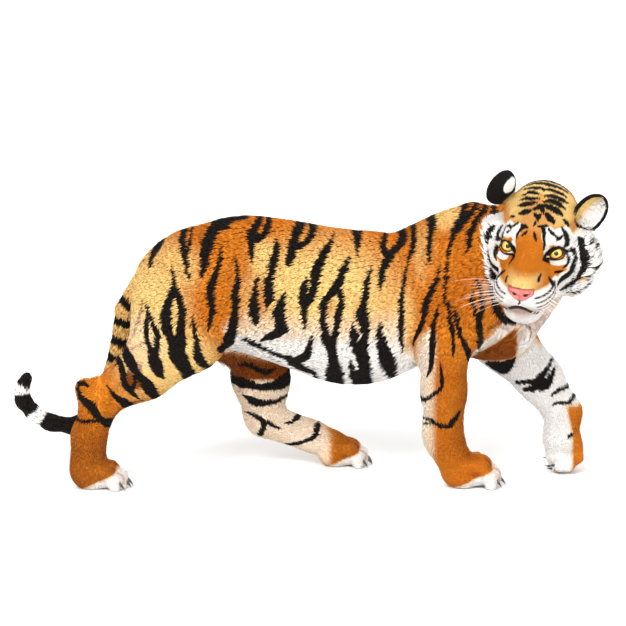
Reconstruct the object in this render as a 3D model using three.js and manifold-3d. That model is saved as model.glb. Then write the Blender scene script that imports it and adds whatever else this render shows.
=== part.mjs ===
// A life-size tiger, walking, its head turned to its right: a still model of the kind a museum shows.
// Units are millimetres. +X is the way the body walks, +Y is its left and +Z is up; the floor is z = 0.
//
// The flesh and coat are one smooth field: tapered masses that flow into each other. Each sub-part is
// the field inside its own region, meshed, thinned to a share of triangles and parted by thin cuts.
import * as THREE from "three";
import Module from "manifold-3d";
import { mergeVertices } from "three/addons/utils/BufferGeometryUtils.js";

const wasm = await Module();
wasm.setup();

// ---- Driving dimensions ----

const gap = 0.3; // between any two pieces that meet
const forePawWidth = 156;
const hindPawWidth = 140;
const eyeRadius = 20; // in the head's frame, for a 350 mm skull, as are the ear and eye places
const eyePlace = { x: 72, y: 64, z: 36 };
const eyeGaze = [0.76, 0.38, 0.53]; // the way the left eye looks: forward, out and up along the muzzle
const earSize = { halfWidth: 46, halfHeight: 62, depth: 32, thick: 8 };
const clawLength = 34;
const clawRadius = 6.8;

// The head looks to its right: its own frame has x to the nose, y to the left ear, z to the crown.
const headPlace = { at: [748, -176, 821], yaw: -110, pitch: 24, roll: -7, scale: 1.22 };

// Back line, belly line and half width of the trunk at each station along x.
const trunkStations = [
  // x, back, belly, half width
  [-596, 660, 560, 40],
  [-566, 710, 520, 92],
  [-516, 768, 490, 128],
  [-450, 822, 472, 152],
  [-340, 884, 458, 164],
  [-220, 908, 432, 168],
  [-70, 893, 380, 184],
  [60, 870, 334, 200],
  [150, 858, 324, 206],
  [240, 850, 334, 204],
  [320, 834, 366, 192],
  [400, 846, 402, 174],
  [480, 918, 420, 158],
  [560, 950, 450, 142],
  [620, 900, 500, 116],
  [665, 800, 590, 60],
];

// ---- Fields: a mass says how far a point is from its surface, and how softly it joins the others ----

const clamp = THREE.MathUtils.clamp;

// A tapered rod from a to b. wide is its width along y over its depth.
function bone(a, b, radiusA, radiusB, { wide = 1, blend = 40 } = {}) {
  const ay = a[1] / wide;
  const dx = b[0] - a[0];
  const dy = (b[1] - a[1]) / wide;
  const dz = b[2] - a[2];
  const square = dx * dx + dy * dy + dz * dz;
  const at = (x, y, z) => {
    const px = x - a[0];
    const py = y / wide - ay;
    const pz = z - a[2];
    const t = clamp((px * dx + py * dy + pz * dz) / square, 0, 1);
    return Math.hypot(px - t * dx, py - t * dy, pz - t * dz) - radiusA - t * (radiusB - radiusA);
  };
  return { at, blend };
}

// An ellipsoid.
function ball(centre, radii, { blend = 40 } = {}) {
  const least = Math.min(...radii);
  const at = (x, y, z) => {
    const qx = (x - centre[0]) / radii[0];
    const qy = (y - centre[1]) / radii[1];
    const qz = (z - centre[2]) / radii[2];
    const reach = Math.hypot(qx, qy, qz);
    const slope = Math.hypot(qx / radii[0], qy / radii[1], qz / radii[2]);
    return slope > 0 ? (reach * (reach - 1)) / slope : -least;
  };
  return { at, blend };
}

// The value of a column of the stations at x, on a smooth curve through them.
function alongStations(stations, x, column) {
  const last = stations.length - 1;
  let i = 0;
  while (i < last - 1 && x > stations[i + 1][0]) i++;
  const span = stations[i + 1][0] - stations[i][0];
  const t = clamp((x - stations[i][0]) / span, 0, 1);
  const slopeAt = (k) => {
    const before = stations[Math.max(k - 1, 0)];
    const after = stations[Math.min(k + 1, last)];
    return (after[column] - before[column]) / (after[0] - before[0]);
  };
  const [from, to] = [stations[i][column], stations[i + 1][column]];
  const [slopeFrom, slopeTo] = [slopeAt(i) * span, slopeAt(i + 1) * span];
  const bend = (2 * (from - to) + slopeFrom + slopeTo) * t;
  return from + t * (slopeFrom + t * (bend + 3 * (to - from) - 2 * slopeFrom - slopeTo));
}

// The trunk: an oval section that follows the stations, a little fuller than an ellipse.
function loftedTrunk(stations, { fullness = 2.25, blend = 40 } = {}) {
  const [first, end] = [stations[0][0], stations.at(-1)[0]];
  const at = (x, y, z) => {
    const inside = clamp(x, first, end);
    const back = alongStations(stations, inside, 1);
    const belly = alongStations(stations, inside, 2);
    const halfWidth = alongStations(stations, inside, 3);
    const halfDepth = (back - belly) / 2;
    const across = Math.abs(y) / halfWidth;
    const upDown = Math.abs(z - (back + belly) / 2) / halfDepth;
    const reach = (across ** fullness + upDown ** fullness) ** (1 / fullness);
    return Math.max((reach - 1) * Math.min(halfWidth, halfDepth), first - x, x - end);
  };
  return { at, blend };
}

const smoothLeast = (a, b, blend) => {
  const h = Math.max(blend - Math.abs(a - b), 0);
  return Math.min(a, b) - (h * h) / (4 * blend);
};

// Takes a mass away instead.
const hollow = (mass) => ({ ...mass, isHollow: true });

// One field from several masses.
const joined = (masses) => (x, y, z) =>
  masses.reduce((sum, mass) => {
    const here = mass.at(x, y, z);
    return mass.isHollow ? -smoothLeast(-sum, here, mass.blend) : smoothLeast(sum, here, mass.blend);
  }, 1e3);

// ---- The body's masses ----

const sides = { right: -1, left: 1 };

// A paw in its own frame: x to the toes, y to the left, z up off the sole, which is z = 0.
const toePlaces = [-1.5, -0.5, 0.5, 1.5];
const toeY = (width, place) => place * width * 0.225;
const toeReach = (long, place) => long * (Math.abs(place) > 1 ? 0.84 : 1);
const toeThick = (width) => width * 0.162;
const toeTip = ({ width, tip = toeThick(width) * 0.82 }) => tip; // height of a toe's tip over the sole

function pawMasses(paw) {
  const { width, long, knuckle } = paw;
  const thick = toeThick(width);
  const tip = toeTip(paw);
  const blend = 9;
  const toes = toePlaces.flatMap((place) => {
    const y = toeY(width, place);
    const reach = toeReach(long, place);
    const bend = [reach * 0.48, y, knuckle];
    const middle = [reach - thick * 1.12, y * 1.03, tip * 0.52 + knuckle * 0.48];
    const end = [reach - thick * 0.92, y * 1.04, tip];
    return [
      bone([0, y * 0.75, knuckle - 6], bend, thick * 1.08, thick * 1.04, { blend }),
      bone(bend, middle, thick * 1.04, thick, { blend }),
      bone(middle, end, thick, thick * 0.9, { blend }),
    ];
  });
  return [
    ball([-6, 0, 42], [width * 0.42, width * 0.43, 48], { blend: 24 }), // palm
    ball([long * 0.44, 0, knuckle * 0.55], [long * 0.4, width * 0.4, knuckle * 0.5], { blend: 16 }),
    ball([long * 0.3, 0, knuckle], [long * 0.46, width * 0.34, 34], { blend: 20 }), // back of the paw
    ...toes,
  ];
}

// A frame from its place, its turns in degrees and its scale.
function frameOf({ at, yaw = 0, pitch = 0, roll = 0, scale = 1 }) {
  const turns = [roll, pitch, yaw].map(THREE.MathUtils.degToRad);
  return new THREE.Matrix4().compose(
    new THREE.Vector3(...at),
    new THREE.Quaternion().setFromEuler(new THREE.Euler(...turns, "ZYX")),
    new THREE.Vector3(scale, scale, scale),
  );
}

// Masses of a local frame as one mass of the body, worked out only within reach of the frame.
function placed(masses, frame, { blend, reach }) {
  const e = frame.clone().invert().elements;
  const scale = Math.cbrt(frame.determinant());
  const field = joined(masses);
  const origin = new THREE.Vector3().setFromMatrixPosition(frame);
  const at = (x, y, z) => {
    const away = Math.hypot(x - origin.x, y - origin.y, z - origin.z);
    if (away > reach + 150) return away - reach;
    return (
      scale *
      field(
        e[0] * x + e[4] * y + e[8] * z + e[12],
        e[1] * x + e[5] * y + e[9] * z + e[13],
        e[2] * x + e[6] * y + e[10] * z + e[14],
      )
    );
  };
  return { at, blend };
}

// Each leg: its paw, and the flesh along it from the trunk down.
const legs = {
  foreRight: {
    paw: { at: [520, -134, -4], yaw: 5 },
    width: forePawWidth,
    long: 126,
    knuckle: 82,
    masses: [
      bone([440, -70, 820], [560, -112, 640], 60, 96, { wide: 0.66, blend: 70 }), // shoulder blade
      bone([560, -112, 630], [446, -132, 484], 98, 86, { wide: 0.74, blend: 50 }), // upper arm
      bone([446, -134, 484], [448, -136, 330], 86, 76, { wide: 0.84, blend: 35 }), // forearm
      bone([448, -136, 330], [450, -134, 165], 76, 66, { wide: 0.88, blend: 30 }),
      bone([450, -134, 165], [494, -134, 76], 66, 60, { blend: 25 }), // wrist to palm
      ball([406, -134, 200], [26, 28, 40], { blend: 30 }), // pad behind the wrist
    ],
  },
  foreLeft: {
    paw: { at: [814, 64, 116], yaw: 4, pitch: 92 }, // hangs from the wrist, its toe tips on the floor
    width: forePawWidth * 0.96,
    long: 126,
    knuckle: 104,
    tip: 48,
    masses: [
      bone([460, 70, 820], [660, 110, 610], 60, 100, { wide: 0.7, blend: 80 }),
      bone([660, 110, 610], [672, 120, 452], 106, 104, { wide: 0.8, blend: 60 }),
      bone([672, 120, 452], [796, 108, 322], 104, 82, { wide: 0.84, blend: 35 }),
      bone([796, 108, 322], [878, 82, 208], 80, 66, { wide: 0.88, blend: 30 }),
      bone([878, 82, 208], [876, 66, 120], 64, 60, { blend: 25 }),
    ],
  },
  hindRight: {
    paw: { at: [-724, -150, -4], yaw: -4 },
    width: hindPawWidth,
    long: 112,
    knuckle: 64,
    masses: [
      bone([-410, -60, 700], [-400, -118, 500], 118, 94, { wide: 0.7, blend: 80 }), // thigh
      bone([-490, -56, 650], [-530, -106, 470], 94, 86, { wide: 0.68, blend: 80 }), // hamstrings
      bone([-384, -122, 478], [-556, -130, 392], 80, 90, { wide: 0.7, blend: 50 }), // calf
      bone([-556, -130, 392], [-706, -136, 302], 92, 66, { wide: 0.68, blend: 40 }),
      bone([-706, -136, 312], [-752, -136, 338], 60, 38, { wide: 0.66, blend: 30 }), // point of the hock
      bone([-706, -136, 290], [-744, -140, 170], 66, 58, { wide: 0.8, blend: 30 }), // instep
      bone([-744, -140, 170], [-748, -148, 62], 60, 64, { wide: 0.96, blend: 25 }),
    ],
  },
  hindLeft: {
    paw: { at: [94, 150, -4] },
    width: hindPawWidth,
    long: 112,
    knuckle: 70,
    masses: [
      bone([-420, 60, 720], [-200, 124, 500], 118, 100, { wide: 0.7, blend: 80 }),
      bone([-500, 56, 670], [-320, 112, 476], 96, 92, { wide: 0.66, blend: 80 }),
      bone([-192, 132, 470], [-172, 142, 310], 108, 98, { wide: 0.7, blend: 50 }),
      bone([-172, 142, 310], [-160, 146, 186], 98, 72, { wide: 0.72, blend: 40 }),
      bone([-160, 146, 192], [-200, 146, 198], 46, 32, { wide: 0.7, blend: 30 }),
      bone([-160, 146, 166], [0, 150, 106], 66, 56, { wide: 0.84, blend: 30 }),
      bone([0, 150, 106], [76, 150, 76], 56, 54, { blend: 25 }),
    ],
  },
};

const neckMasses = [
  bone([455, 0, 700], [620, 0, 736], 200, 178, { wide: 0.8, blend: 70 }),
  bone([620, 0, 736], [730, -16, 800], 178, 150, { wide: 0.9, blend: 50 }),
  bone([730, -16, 800], [776, -100, 850], 150, 124, { blend: 50 }),
  bone([650, 8, 530], [734, 12, 660], 122, 122, { blend: 100 }), // front of the chest
];

// The head, in its own frame.
const headMasses = [
  ball([-50, 0, 64], [100, 98, 100], { blend: 36 }), // braincase
  ball([14, 0, 62], [80, 70, 50], { blend: 44 }), // forehead
  bone([44, 0, 46], [176, 0, 6], 36, 23, { wide: 1.35, blend: 34 }), // bridge of the nose
  bone([60, 0, -26], [150, 0, -48], 60, 46, { blend: 26 }), // muzzle
  ball([188, 0, -9], [25, 36, 21], { blend: 14 }), // nose
  ball([180, 0, -46], [28, 34, 28], { blend: 16 }), // middle of the upper lip
  ball([158, 0, -106], [38, 50, 32], { blend: 22 }), // chin
  ball([20, 0, -86], [112, 62, 44], { blend: 40 }), // throat
];
for (const side of Object.values(sides))
  headMasses.push(
    ball([50, side * 48, 56], [34, 30, 20], { blend: 26 }), // brow
    ball([150, side * 37, -47], [56, 44, 41], { blend: 20 }), // whisker pad
    bone([54, side * 50, -12], [150, side * 34, -32], 40, 32, { blend: 34 }), // below the eye
    bone([10, side * 58, -70], [140, side * 22, -88], 42, 30, { blend: 24 }), // lower jaw
    ball([10, side * 78, -18], [80, 54, 66], { blend: 34 }), // cheek
    ball([40, side * 78, 6], [50, 34, 34], { blend: 26 }), // cheekbone
    ball([-30, side * 114, -28], [56, 60, 80], { blend: 44 }), // ruff
    ball([0, side * 98, -80], [60, 48, 48], { blend: 44 }),
  );
headMasses.push(bone([-52, -66, 84], [-50, -94, 98], 40, 20, { blend: 26 })); // root of the right ear
for (const side of Object.values(sides)) {
  const { x, y, z } = eyePlace;
  const [ahead, out, up] = eyeGaze;
  const fromEye = (by) => [x + ahead * by, side * (y + out * by), z + up * by];
  const lid = eyeRadius + 4;
  headMasses.push(
    hollow(ball(fromEye(22), [24, 27, 22], { blend: 20 })), // eye socket
    ball(fromEye(0), [lid, lid, lid], { blend: 12 }),
    hollow(ball(fromEye(20), [13, 18, 14], { blend: 3 })), // between the lids
  );
}

const bodyMasses = [loftedTrunk(trunkStations), ...neckMasses];
for (const leg of Object.values(legs)) {
  leg.frame = frameOf(leg.paw);
  bodyMasses.push(...leg.masses, placed(pawMasses(leg), leg.frame, { blend: 24, reach: 130 }));
}
const headFrame = frameOf(headPlace);
const animal = joined([...bodyMasses, placed(headMasses, headFrame, { blend: 40, reach: 260 })]);

// The tail hangs behind the thighs and its tip curls up: x, y, z and radius along it.
const tailLine = [
  [-560, 0, 670, 50],
  [-622, 6, 580, 42],
  [-652, 14, 440, 35],
  [-696, 22, 300, 32],
  [-752, 30, 205, 31],
  [-820, 36, 168, 31],
  [-895, 40, 178, 31],
  [-952, 42, 208, 30],
  [-990, 42, 256, 29],
  [-994, 42, 298, 27],
  [-976, 42, 334, 23],
];
const tailMasses = tailLine
  .slice(1)
  .map((to, i) => bone(tailLine[i].slice(0, 3), to.slice(0, 3), tailLine[i][3], to[3], { blend: 14 }));
const tailField = joined(tailMasses);

// An ear is a cupped half shell. The left one opens to the front, and the right one is turned back.
const ears = {
  left: { at: [-46, 127, 98], yaw: 30, pitch: -4, roll: -33 },
  right: { at: [-44, -118, 144], yaw: -128, pitch: -16, roll: -14 },
};

// ---- From a field to a mesh ----

// The six tetrahedra of a cell, by the numbers of its corners, whose bits are x, y and z.
const tetrahedra = [
  [0, 1, 3, 7],
  [0, 3, 2, 7],
  [0, 2, 6, 7],
  [0, 6, 4, 7],
  [0, 4, 5, 7],
  [0, 5, 1, 7],
];

// A closed mesh of field < 0 inside the box, by marching tetrahedra over cells of one size.
function meshOf(field, lo, hi, cell) {
  const count = lo.map((low, i) => Math.ceil((hi[i] - low) / cell) + 3);
  const start = lo.map((low) => low - cell);
  const index = (i, j, k) => (k * count[1] + j) * count[0] + i;
  const place = (n) => {
    const i = n % count[0];
    const j = Math.floor(n / count[0]) % count[1];
    const k = Math.floor(n / (count[0] * count[1]));
    return [start[0] + i * cell, start[1] + j * cell, start[2] + k * cell];
  };
  const values = new Float64Array(count[0] * count[1] * count[2]);
  for (let n = 0; n < values.length; n++) {
    const p = place(n);
    const outside = Math.max(...p.map((v, i) => Math.max(lo[i] - v, v - hi[i])));
    values[n] = Math.max(field(...p), outside) || 1e-6;
  }
  const points = [];
  const triangles = [];
  const made = new Map();
  const crossing = (a, b) => {
    const key = a < b ? a * values.length + b : b * values.length + a;
    if (!made.has(key)) {
      const t = clamp(values[a] / (values[a] - values[b]), 0.04, 0.96);
      const [pa, pb] = [place(a), place(b)];
      points.push(pa.map((v, i) => v + t * (pb[i] - v)));
      made.set(key, points.length - 1);
    }
    return made.get(key);
  };
  const face = (a, b, c, inner) => {
    // Turn the face so that it looks away from the inner corner.
    const [p, q, r, s] = [points[a], points[b], points[c], place(inner)];
    const u = q.map((v, i) => v - p[i]);
    const w = r.map((v, i) => v - p[i]);
    const normal = [u[1] * w[2] - u[2] * w[1], u[2] * w[0] - u[0] * w[2], u[0] * w[1] - u[1] * w[0]];
    const away = normal.reduce((sum, v, i) => sum + v * (p[i] - s[i]), 0);
    triangles.push(away > 0 ? [a, b, c] : [a, c, b]);
  };
  for (let k = 0; k < count[2] - 1; k++)
    for (let j = 0; j < count[1] - 1; j++)
      for (let i = 0; i < count[0] - 1; i++)
        for (const tetrahedron of tetrahedra) {
          const corners = tetrahedron.map((c) => index(i + (c & 1), j + ((c >> 1) & 1), k + (c >> 2)));
          const inner = corners.filter((c) => values[c] < 0);
          const outer = corners.filter((c) => values[c] >= 0);
          if (inner.length === 1 || inner.length === 3) {
            const [one, three] = inner.length === 1 ? [inner[0], outer] : [outer[0], inner];
            const [a, b, c] = three.map((other) => crossing(one, other));
            face(a, b, c, inner[0]);
          } else if (inner.length === 2) {
            const [a, b] = inner;
            const [c, d] = outer;
            const [ac, ad, bc, bd] = [crossing(a, c), crossing(a, d), crossing(b, c), crossing(b, d)];
            face(ac, ad, bd, a);
            face(ac, bd, bc, a);
          }
        }
  return { points, triangles };
}

// The quadric of a plane through a point, as the ten numbers of its symmetric matrix.
function planeQuadric(normal, point, weight) {
  const [a, b, c] = normal;
  const d = -(a * point[0] + b * point[1] + c * point[2]);
  return [a * a, a * b, a * c, a * d, b * b, b * c, b * d, c * c, c * d, d * d].map((v) => v * weight);
}

const quadricError = (q, [x, y, z]) =>
  q[0] * x * x + q[4] * y * y + q[7] * z * z + q[9] +
  2 * (q[1] * x * y + q[2] * x * z + q[3] * x + q[5] * y * z + q[6] * y + q[8] * z);

function normalOf(p, q, r) {
  const u = [q[0] - p[0], q[1] - p[1], q[2] - p[2]];
  const w = [r[0] - p[0], r[1] - p[1], r[2] - p[2]];
  return [u[1] * w[2] - u[2] * w[1], u[2] * w[0] - u[0] * w[2], u[0] * w[1] - u[1] * w[0]];
}

// Fewer triangles, by collapsing the edge that changes the shape least, again and again.
function thinned({ points, triangles }, wanted) {
  const faces = triangles.map((t) => [...t]);
  const around = points.map(() => new Set());
  const quadrics = points.map(() => new Array(10).fill(0));
  faces.forEach((f, n) => {
    const normal = normalOf(...f.map((v) => points[v]));
    const area = Math.hypot(...normal) || 1e-12;
    const q = planeQuadric(normal.map((v) => v / area), points[f[0]], area);
    for (const v of f) {
      around[v].add(n);
      quadrics[v] = quadrics[v].map((value, i) => value + q[i]);
    }
  });
  const version = points.map(() => 0);
  const neighbours = (v) => new Set([...around[v]].flatMap((n) => faces[n]).filter((w) => w !== v));
  const heap = [];
  const push = (item) => {
    let i = heap.push(item) - 1;
    while (i > 0 && heap[(i - 1) >> 1].cost > item.cost) {
      heap[i] = heap[(i - 1) >> 1];
      i = (i - 1) >> 1;
    }
    heap[i] = item;
  };
  const pop = () => {
    const top = heap[0];
    const item = heap.pop();
    for (let i = 0; heap.length; ) {
      let child = 2 * i + 1;
      if (child + 1 < heap.length && heap[child + 1].cost < heap[child].cost) child++;
      if (child >= heap.length || heap[child].cost >= item.cost) {
        heap[i] = item;
        break;
      }
      heap[i] = heap[child];
      i = child;
    }
    return top;
  };
  const offer = (a, b) => {
    const q = quadrics[a].map((v, i) => v + quadrics[b][i]);
    const middle = points[a].map((v, i) => (v + points[b][i]) / 2);
    const tries = [points[a], points[b], middle];
    const costs = tries.map((p) => quadricError(q, p));
    const best = costs.indexOf(Math.min(...costs));
    const length = Math.hypot(...points[a].map((v, i) => v - points[b][i]));
    push({ cost: costs[best] + length * 1e-3, a, b, at: tries[best], seen: version[a] + version[b] });
  };
  for (let v = 0; v < points.length; v++) for (const w of neighbours(v)) if (v < w) offer(v, w);
  let left = faces.length;
  const alive = points.map(() => true);
  while (left > wanted && heap.length) {
    const { a, b, at, seen } = pop();
    if (!alive[a] || !alive[b] || seen !== version[a] + version[b]) continue;
    const shared = [...neighbours(a)].filter((v) => neighbours(b).has(v));
    if (shared.length !== 2) continue; // the collapse would pinch the surface
    const flips = (v, other) =>
      [...around[v]].some((n) => {
        const f = faces[n];
        if (f.includes(other)) return false;
        const before = normalOf(...f.map((w) => points[w]));
        const after = normalOf(...f.map((w) => (w === v ? at : points[w])));
        const turn = before.reduce((sum, value, i) => sum + value * after[i], 0);
        return turn < 0.2 * Math.hypot(...before) * Math.hypot(...after);
      });
    if (flips(a, b) || flips(b, a)) continue;
    for (const n of [...around[b]]) {
      if (faces[n].includes(a)) {
        for (const v of faces[n]) around[v].delete(n);
        left--;
      } else {
        faces[n] = faces[n].map((v) => (v === b ? a : v));
        around[a].add(n);
      }
    }
    points[a] = at;
    quadrics[a] = quadrics[a].map((v, i) => v + quadrics[b][i]);
    alive[b] = false;
    around[b].clear();
    version[a] += version[b] + 1;
    for (const v of neighbours(a)) offer(a, v);
  }
  const kept = [...new Set(around.flatMap((set) => [...set]))];
  return { points, triangles: kept.map((n) => faces[n]) };
}

// ---- Solids ----

const solidOf = ({ points, triangles }) => {
  const used = [...new Set(triangles.flat())];
  const renamed = new Map(used.map((v, i) => [v, i]));
  const vertProperties = new Float32Array(used.flatMap((v) => points[v]));
  const triVerts = new Uint32Array(triangles.flat().map((v) => renamed.get(v)));
  return new wasm.Manifold(new wasm.Mesh({ numProp: 3, vertProperties, triVerts }));
};

// A solid from a closed three.js geometry.
function solidOfGeometry(geometry) {
  const bare = geometry.clone();
  bare.deleteAttribute("normal");
  bare.deleteAttribute("uv");
  const merged = mergeVertices(bare, 1e-3);
  const position = merged.getAttribute("position").array;
  const count = position.length / 3;
  const points = Array.from({ length: count }, (_, i) => [...position.slice(3 * i, 3 * i + 3)]);
  const corners = merged.index.array;
  const triangles = [];
  for (let i = 0; i < corners.length; i += 3) {
    const t = [...corners.slice(i, i + 3)];
    if (new Set(t).size === 3) triangles.push(t);
  }
  return solidOf({ points, triangles });
}

function boxSolid(lo, hi, grow) {
  const size = hi.map((v, i) => v - lo[i] + 2 * grow);
  const middle = hi.map((v, i) => (v + lo[i]) / 2);
  return solidOfGeometry(new THREE.BoxGeometry(...size).translate(...middle));
}

const largest = (solid) => solid.decompose().sort((a, b) => b.volume() - a.volume())[0];

// A solid grown by a little along the slope of its field, to leave a gap in what it cuts.
function grown(solid, by, field) {
  const mesh = solid.getMesh();
  const points = Array.from({ length: mesh.numVert }, (_, v) => {
    const p = [...mesh.vertProperties.subarray(v * mesh.numProp, v * mesh.numProp + 3)];
    const slope = [0, 1, 2].map((axis) => {
      const q = [...p];
      q[axis] += 1;
      return field(...q) - field(...p);
    });
    const steep = Math.hypot(...slope) || 1;
    return p.map((value, axis) => value + (slope[axis] / steep) * by);
  });
  const triangles = Array.from({ length: mesh.triVerts.length / 3 }, (_, t) => [
    ...mesh.triVerts.subarray(3 * t, 3 * t + 3),
  ]);
  return solidOf({ points, triangles });
}

const atFrame = (solid, frame) => solid.transform([...frame.elements]);

// ---- The object: one named mesh for each sub-part ----

const finishes = {
  coat: new THREE.MeshStandardMaterial({ name: "coat", color: 0xc8741f, roughness: 0.9 }),
  pale_coat: new THREE.MeshStandardMaterial({ name: "pale_coat", color: 0xece2d2, roughness: 0.9 }),
  dark_coat: new THREE.MeshStandardMaterial({ name: "dark_coat", color: 0x1d1712, roughness: 0.9 }),
  nose: new THREE.MeshStandardMaterial({ name: "nose", color: 0xd0766c, roughness: 0.5 }),
  eye: new THREE.MeshStandardMaterial({ name: "eye", color: 0xd9a834, roughness: 0.08 }),
  claw: new THREE.MeshStandardMaterial({ name: "claw", color: 0x1c1712, roughness: 0.35 }),
};

const tiger = new THREE.Group();

function add(name, solid, finish, parent = tiger) {
  const mesh = solid.getMesh();
  const positions = new Float32Array(mesh.numVert * 3);
  for (let v = 0; v < mesh.numVert; v++)
    positions.set(mesh.vertProperties.subarray(v * mesh.numProp, v * mesh.numProp + 3), 3 * v);
  const geometry = new THREE.BufferGeometry()
    .setAttribute("position", new THREE.BufferAttribute(positions, 3))
    .setIndex(new THREE.BufferAttribute(mesh.triVerts, 1));
  geometry.computeVertexNormals();
  const piece = new THREE.Mesh(geometry, finishes[finish]);
  piece.name = name;
  parent.add(piece);
}

// ---- The head: the field ahead of a cut behind the ears, with the eyes and the nose pad apart ----

const headGroup = new THREE.Group();
headFrame.decompose(headGroup.position, headGroup.quaternion, headGroup.scale);
tiger.add(headGroup);
const thin = gap / headPlace.scale; // the gap in the head's own frame

// What is in this drum is the head's.
const headDrum = { back: -74, front: 250, radius: 192 };
const drumSolid = (grow) =>
  solidOfGeometry(
    new THREE.CylinderGeometry(
      headDrum.radius + grow,
      headDrum.radius + grow,
      headDrum.front - headDrum.back + 2 * grow,
      20,
    )
      .rotateZ(Math.PI / 2)
      .translate((headDrum.front + headDrum.back) / 2, 0, 0),
  );

const spot = new THREE.Vector3();
const headField = (x, y, z) => {
  spot.set(x, y, z).applyMatrix4(headFrame);
  return animal(spot.x, spot.y, spot.z) / headPlace.scale;
};
const headCell = 7;
const headMesh = meshOf(headField, [headDrum.back - 12, -204, -204], [245, 204, 195], headCell);
const headSolid = solidOf(thinned(headMesh, 1350)).intersect(drumSolid(-thin / 2));

// The nose pad is wide above and narrow below. Its outline is drawn round its middle.
const noseMiddle = -18;
const noseOutline = [
  [-35, 14],
  [-20, 18],
  [20, 18],
  [35, 14],
  [36, -1],
  [9, -21],
  [-9, -21],
  [-36, -1],
];
const noseDrum = (grow) => {
  const wider = (v) => v + Math.sign(v) * grow;
  const outline = noseOutline.map(([y, z]) => new THREE.Vector2(wider(y), wider(z) + noseMiddle));
  const shape = new THREE.ExtrudeGeometry(new THREE.Shape(outline), { depth: 50, bevelEnabled: false });
  // Its outline was drawn in x and y: x becomes the head's y, and y its z.
  const turn = new THREE.Matrix4().set(0, 0, 1, 190 - grow, 1, 0, 0, 0, 0, 1, 0, 0, 0, 0, 0, 1);
  return solidOfGeometry(shape.applyMatrix4(turn));
};
const eyeball = (side, grow) =>
  solidOfGeometry(
    new THREE.SphereGeometry(eyeRadius + grow, 12, 8)
      .rotateZ(Math.PI / 2)
      .translate(eyePlace.x, side * eyePlace.y, eyePlace.z),
  );
let head = headSolid.subtract(noseDrum(thin / 2));
for (const side of Object.values(sides)) head = head.subtract(eyeball(side, thin));
head = largest(head);
add("head", head, "coat", headGroup);
add("nose_pad", largest(headSolid.intersect(noseDrum(-thin / 2))), "nose", headGroup);
for (const [word, side] of Object.entries(sides))
  add(`eye_${word}`, eyeball(side, 0), "eye", headGroup);

// The cup of an ear: half of a thick shell, with its mouth along x.
function earCup() {
  const { halfWidth, halfHeight, depth, thick } = earSize;
  const steps = 5;
  const rim = Math.PI / 2 + 0.1;
  const arc = (radius, sag, from, to) =>
    Array.from({ length: steps + 1 }, (_, i) => {
      const angle = from + ((to - from) * i) / steps;
      return new THREE.Vector2(Math.max(radius * Math.sin(angle), 0), -sag * Math.cos(angle));
    });
  const outer = arc(1, depth, 0, rim);
  const inner = arc(1 - thick / halfWidth, depth - thick, rim, 0);
  return new THREE.LatheGeometry([...outer, ...inner], 12)
    .rotateZ(-Math.PI / 2)
    .scale(1, halfWidth, halfHeight);
}
const headGrown = grown(head, thin * 1.5, headField);
for (const [word, place] of Object.entries(ears)) {
  const cup = atFrame(solidOfGeometry(earCup()), frameOf(place));
  add(`ear_${word}`, largest(cup.subtract(headGrown)), "dark_coat", headGroup);
}

// ---- The rest of the body, parted by boxes: each has cells of one size and a share of triangles ----

const far = 1200;
const sole = -gap / 2; // with the gap taken off, the paws are cut flat at the floor
const frontParts = ["shoulder", "foreleg"];
const rearParts = ["thigh", "shank"];
const regions = {
  rump: { lo: [-far, -far, 300], hi: [-230, far, far], cell: 20, triangles: 320, less: rearParts },
  belly: { lo: [-230, -far, 250], hi: [240, far, far], cell: 22, triangles: 300, less: rearParts },
  chest: { lo: [240, -far, 250], hi: [560, far, far], cell: 20, triangles: 310, less: frontParts },
  neck: { lo: [560, -far, 300], hi: [far, far, far], cell: 18, triangles: 470, less: frontParts },
  shoulder_right: { lo: [335, -far, 385], hi: [640, -104, 800], cell: 16, triangles: 210 },
  shoulder_left: { lo: [400, 84, 400], hi: [far, far, 800], cell: 16, triangles: 230 },
  foreleg_right: { lo: [335, -far, 110], hi: [640, -42, 385], cell: 14, triangles: 250 },
  foreleg_left: { lo: [540, 34, 160], hi: [far, far, 400], cell: 14, triangles: 270 },
  forepaw_right: { lo: [335, -far, sole], hi: [760, -42, 110], cell: 8, triangles: 480 },
  forepaw_left: { lo: [700, 0, sole], hi: [far, far, 160], cell: 8, triangles: 480 },
  thigh_right: { lo: [-far, -far, 430], hi: [-262, -88, 700], cell: 18, triangles: 200 },
  thigh_left: { lo: [-far, 88, 400], hi: [-70, far, 690], cell: 18, triangles: 210 },
  shank_right: { lo: [-far, -far, 100], hi: [-262, -46, 430], cell: 14, triangles: 280 },
  shank_left: { lo: [-400, 46, 0], hi: [24, far, 400], cell: 14, triangles: 280 },
  hindpaw_right: { lo: [-far, -far, sole], hi: [-540, -46, 100], cell: 8, triangles: 440 },
  hindpaw_left: { lo: [24, 46, sole], hi: [300, far, 170], cell: 8, triangles: 440 },
};
const bodyBox = { lo: [-860, -260, -30], hi: [1000, 290, 1070] };
const nearHead = ["neck", "chest", "shoulder_right"];
const headCutter = atFrame(drumSolid(thin / 2), headFrame);

function bodySolid(name, region) {
  const lo = region.lo.map((v, i) => Math.max(v - 1.5 * region.cell, bodyBox.lo[i]));
  const hi = region.hi.map((v, i) => Math.min(v + 1.5 * region.cell, bodyBox.hi[i]));
  const mesh = thinned(meshOf(animal, lo, hi, region.cell), region.triangles);
  const cutters = Object.entries(regions)
    .filter(([other]) => region.less?.some((word) => other.startsWith(word)))
    .map(([, other]) => boxSolid(other.lo, other.hi, gap / 2));
  if (nearHead.includes(name)) cutters.push(headCutter);
  const inside = solidOf(mesh).intersect(boxSolid(region.lo, region.hi, -gap / 2));
  return largest(cutters.reduce((solid, cutter) => solid.subtract(cutter), inside));
}

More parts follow.
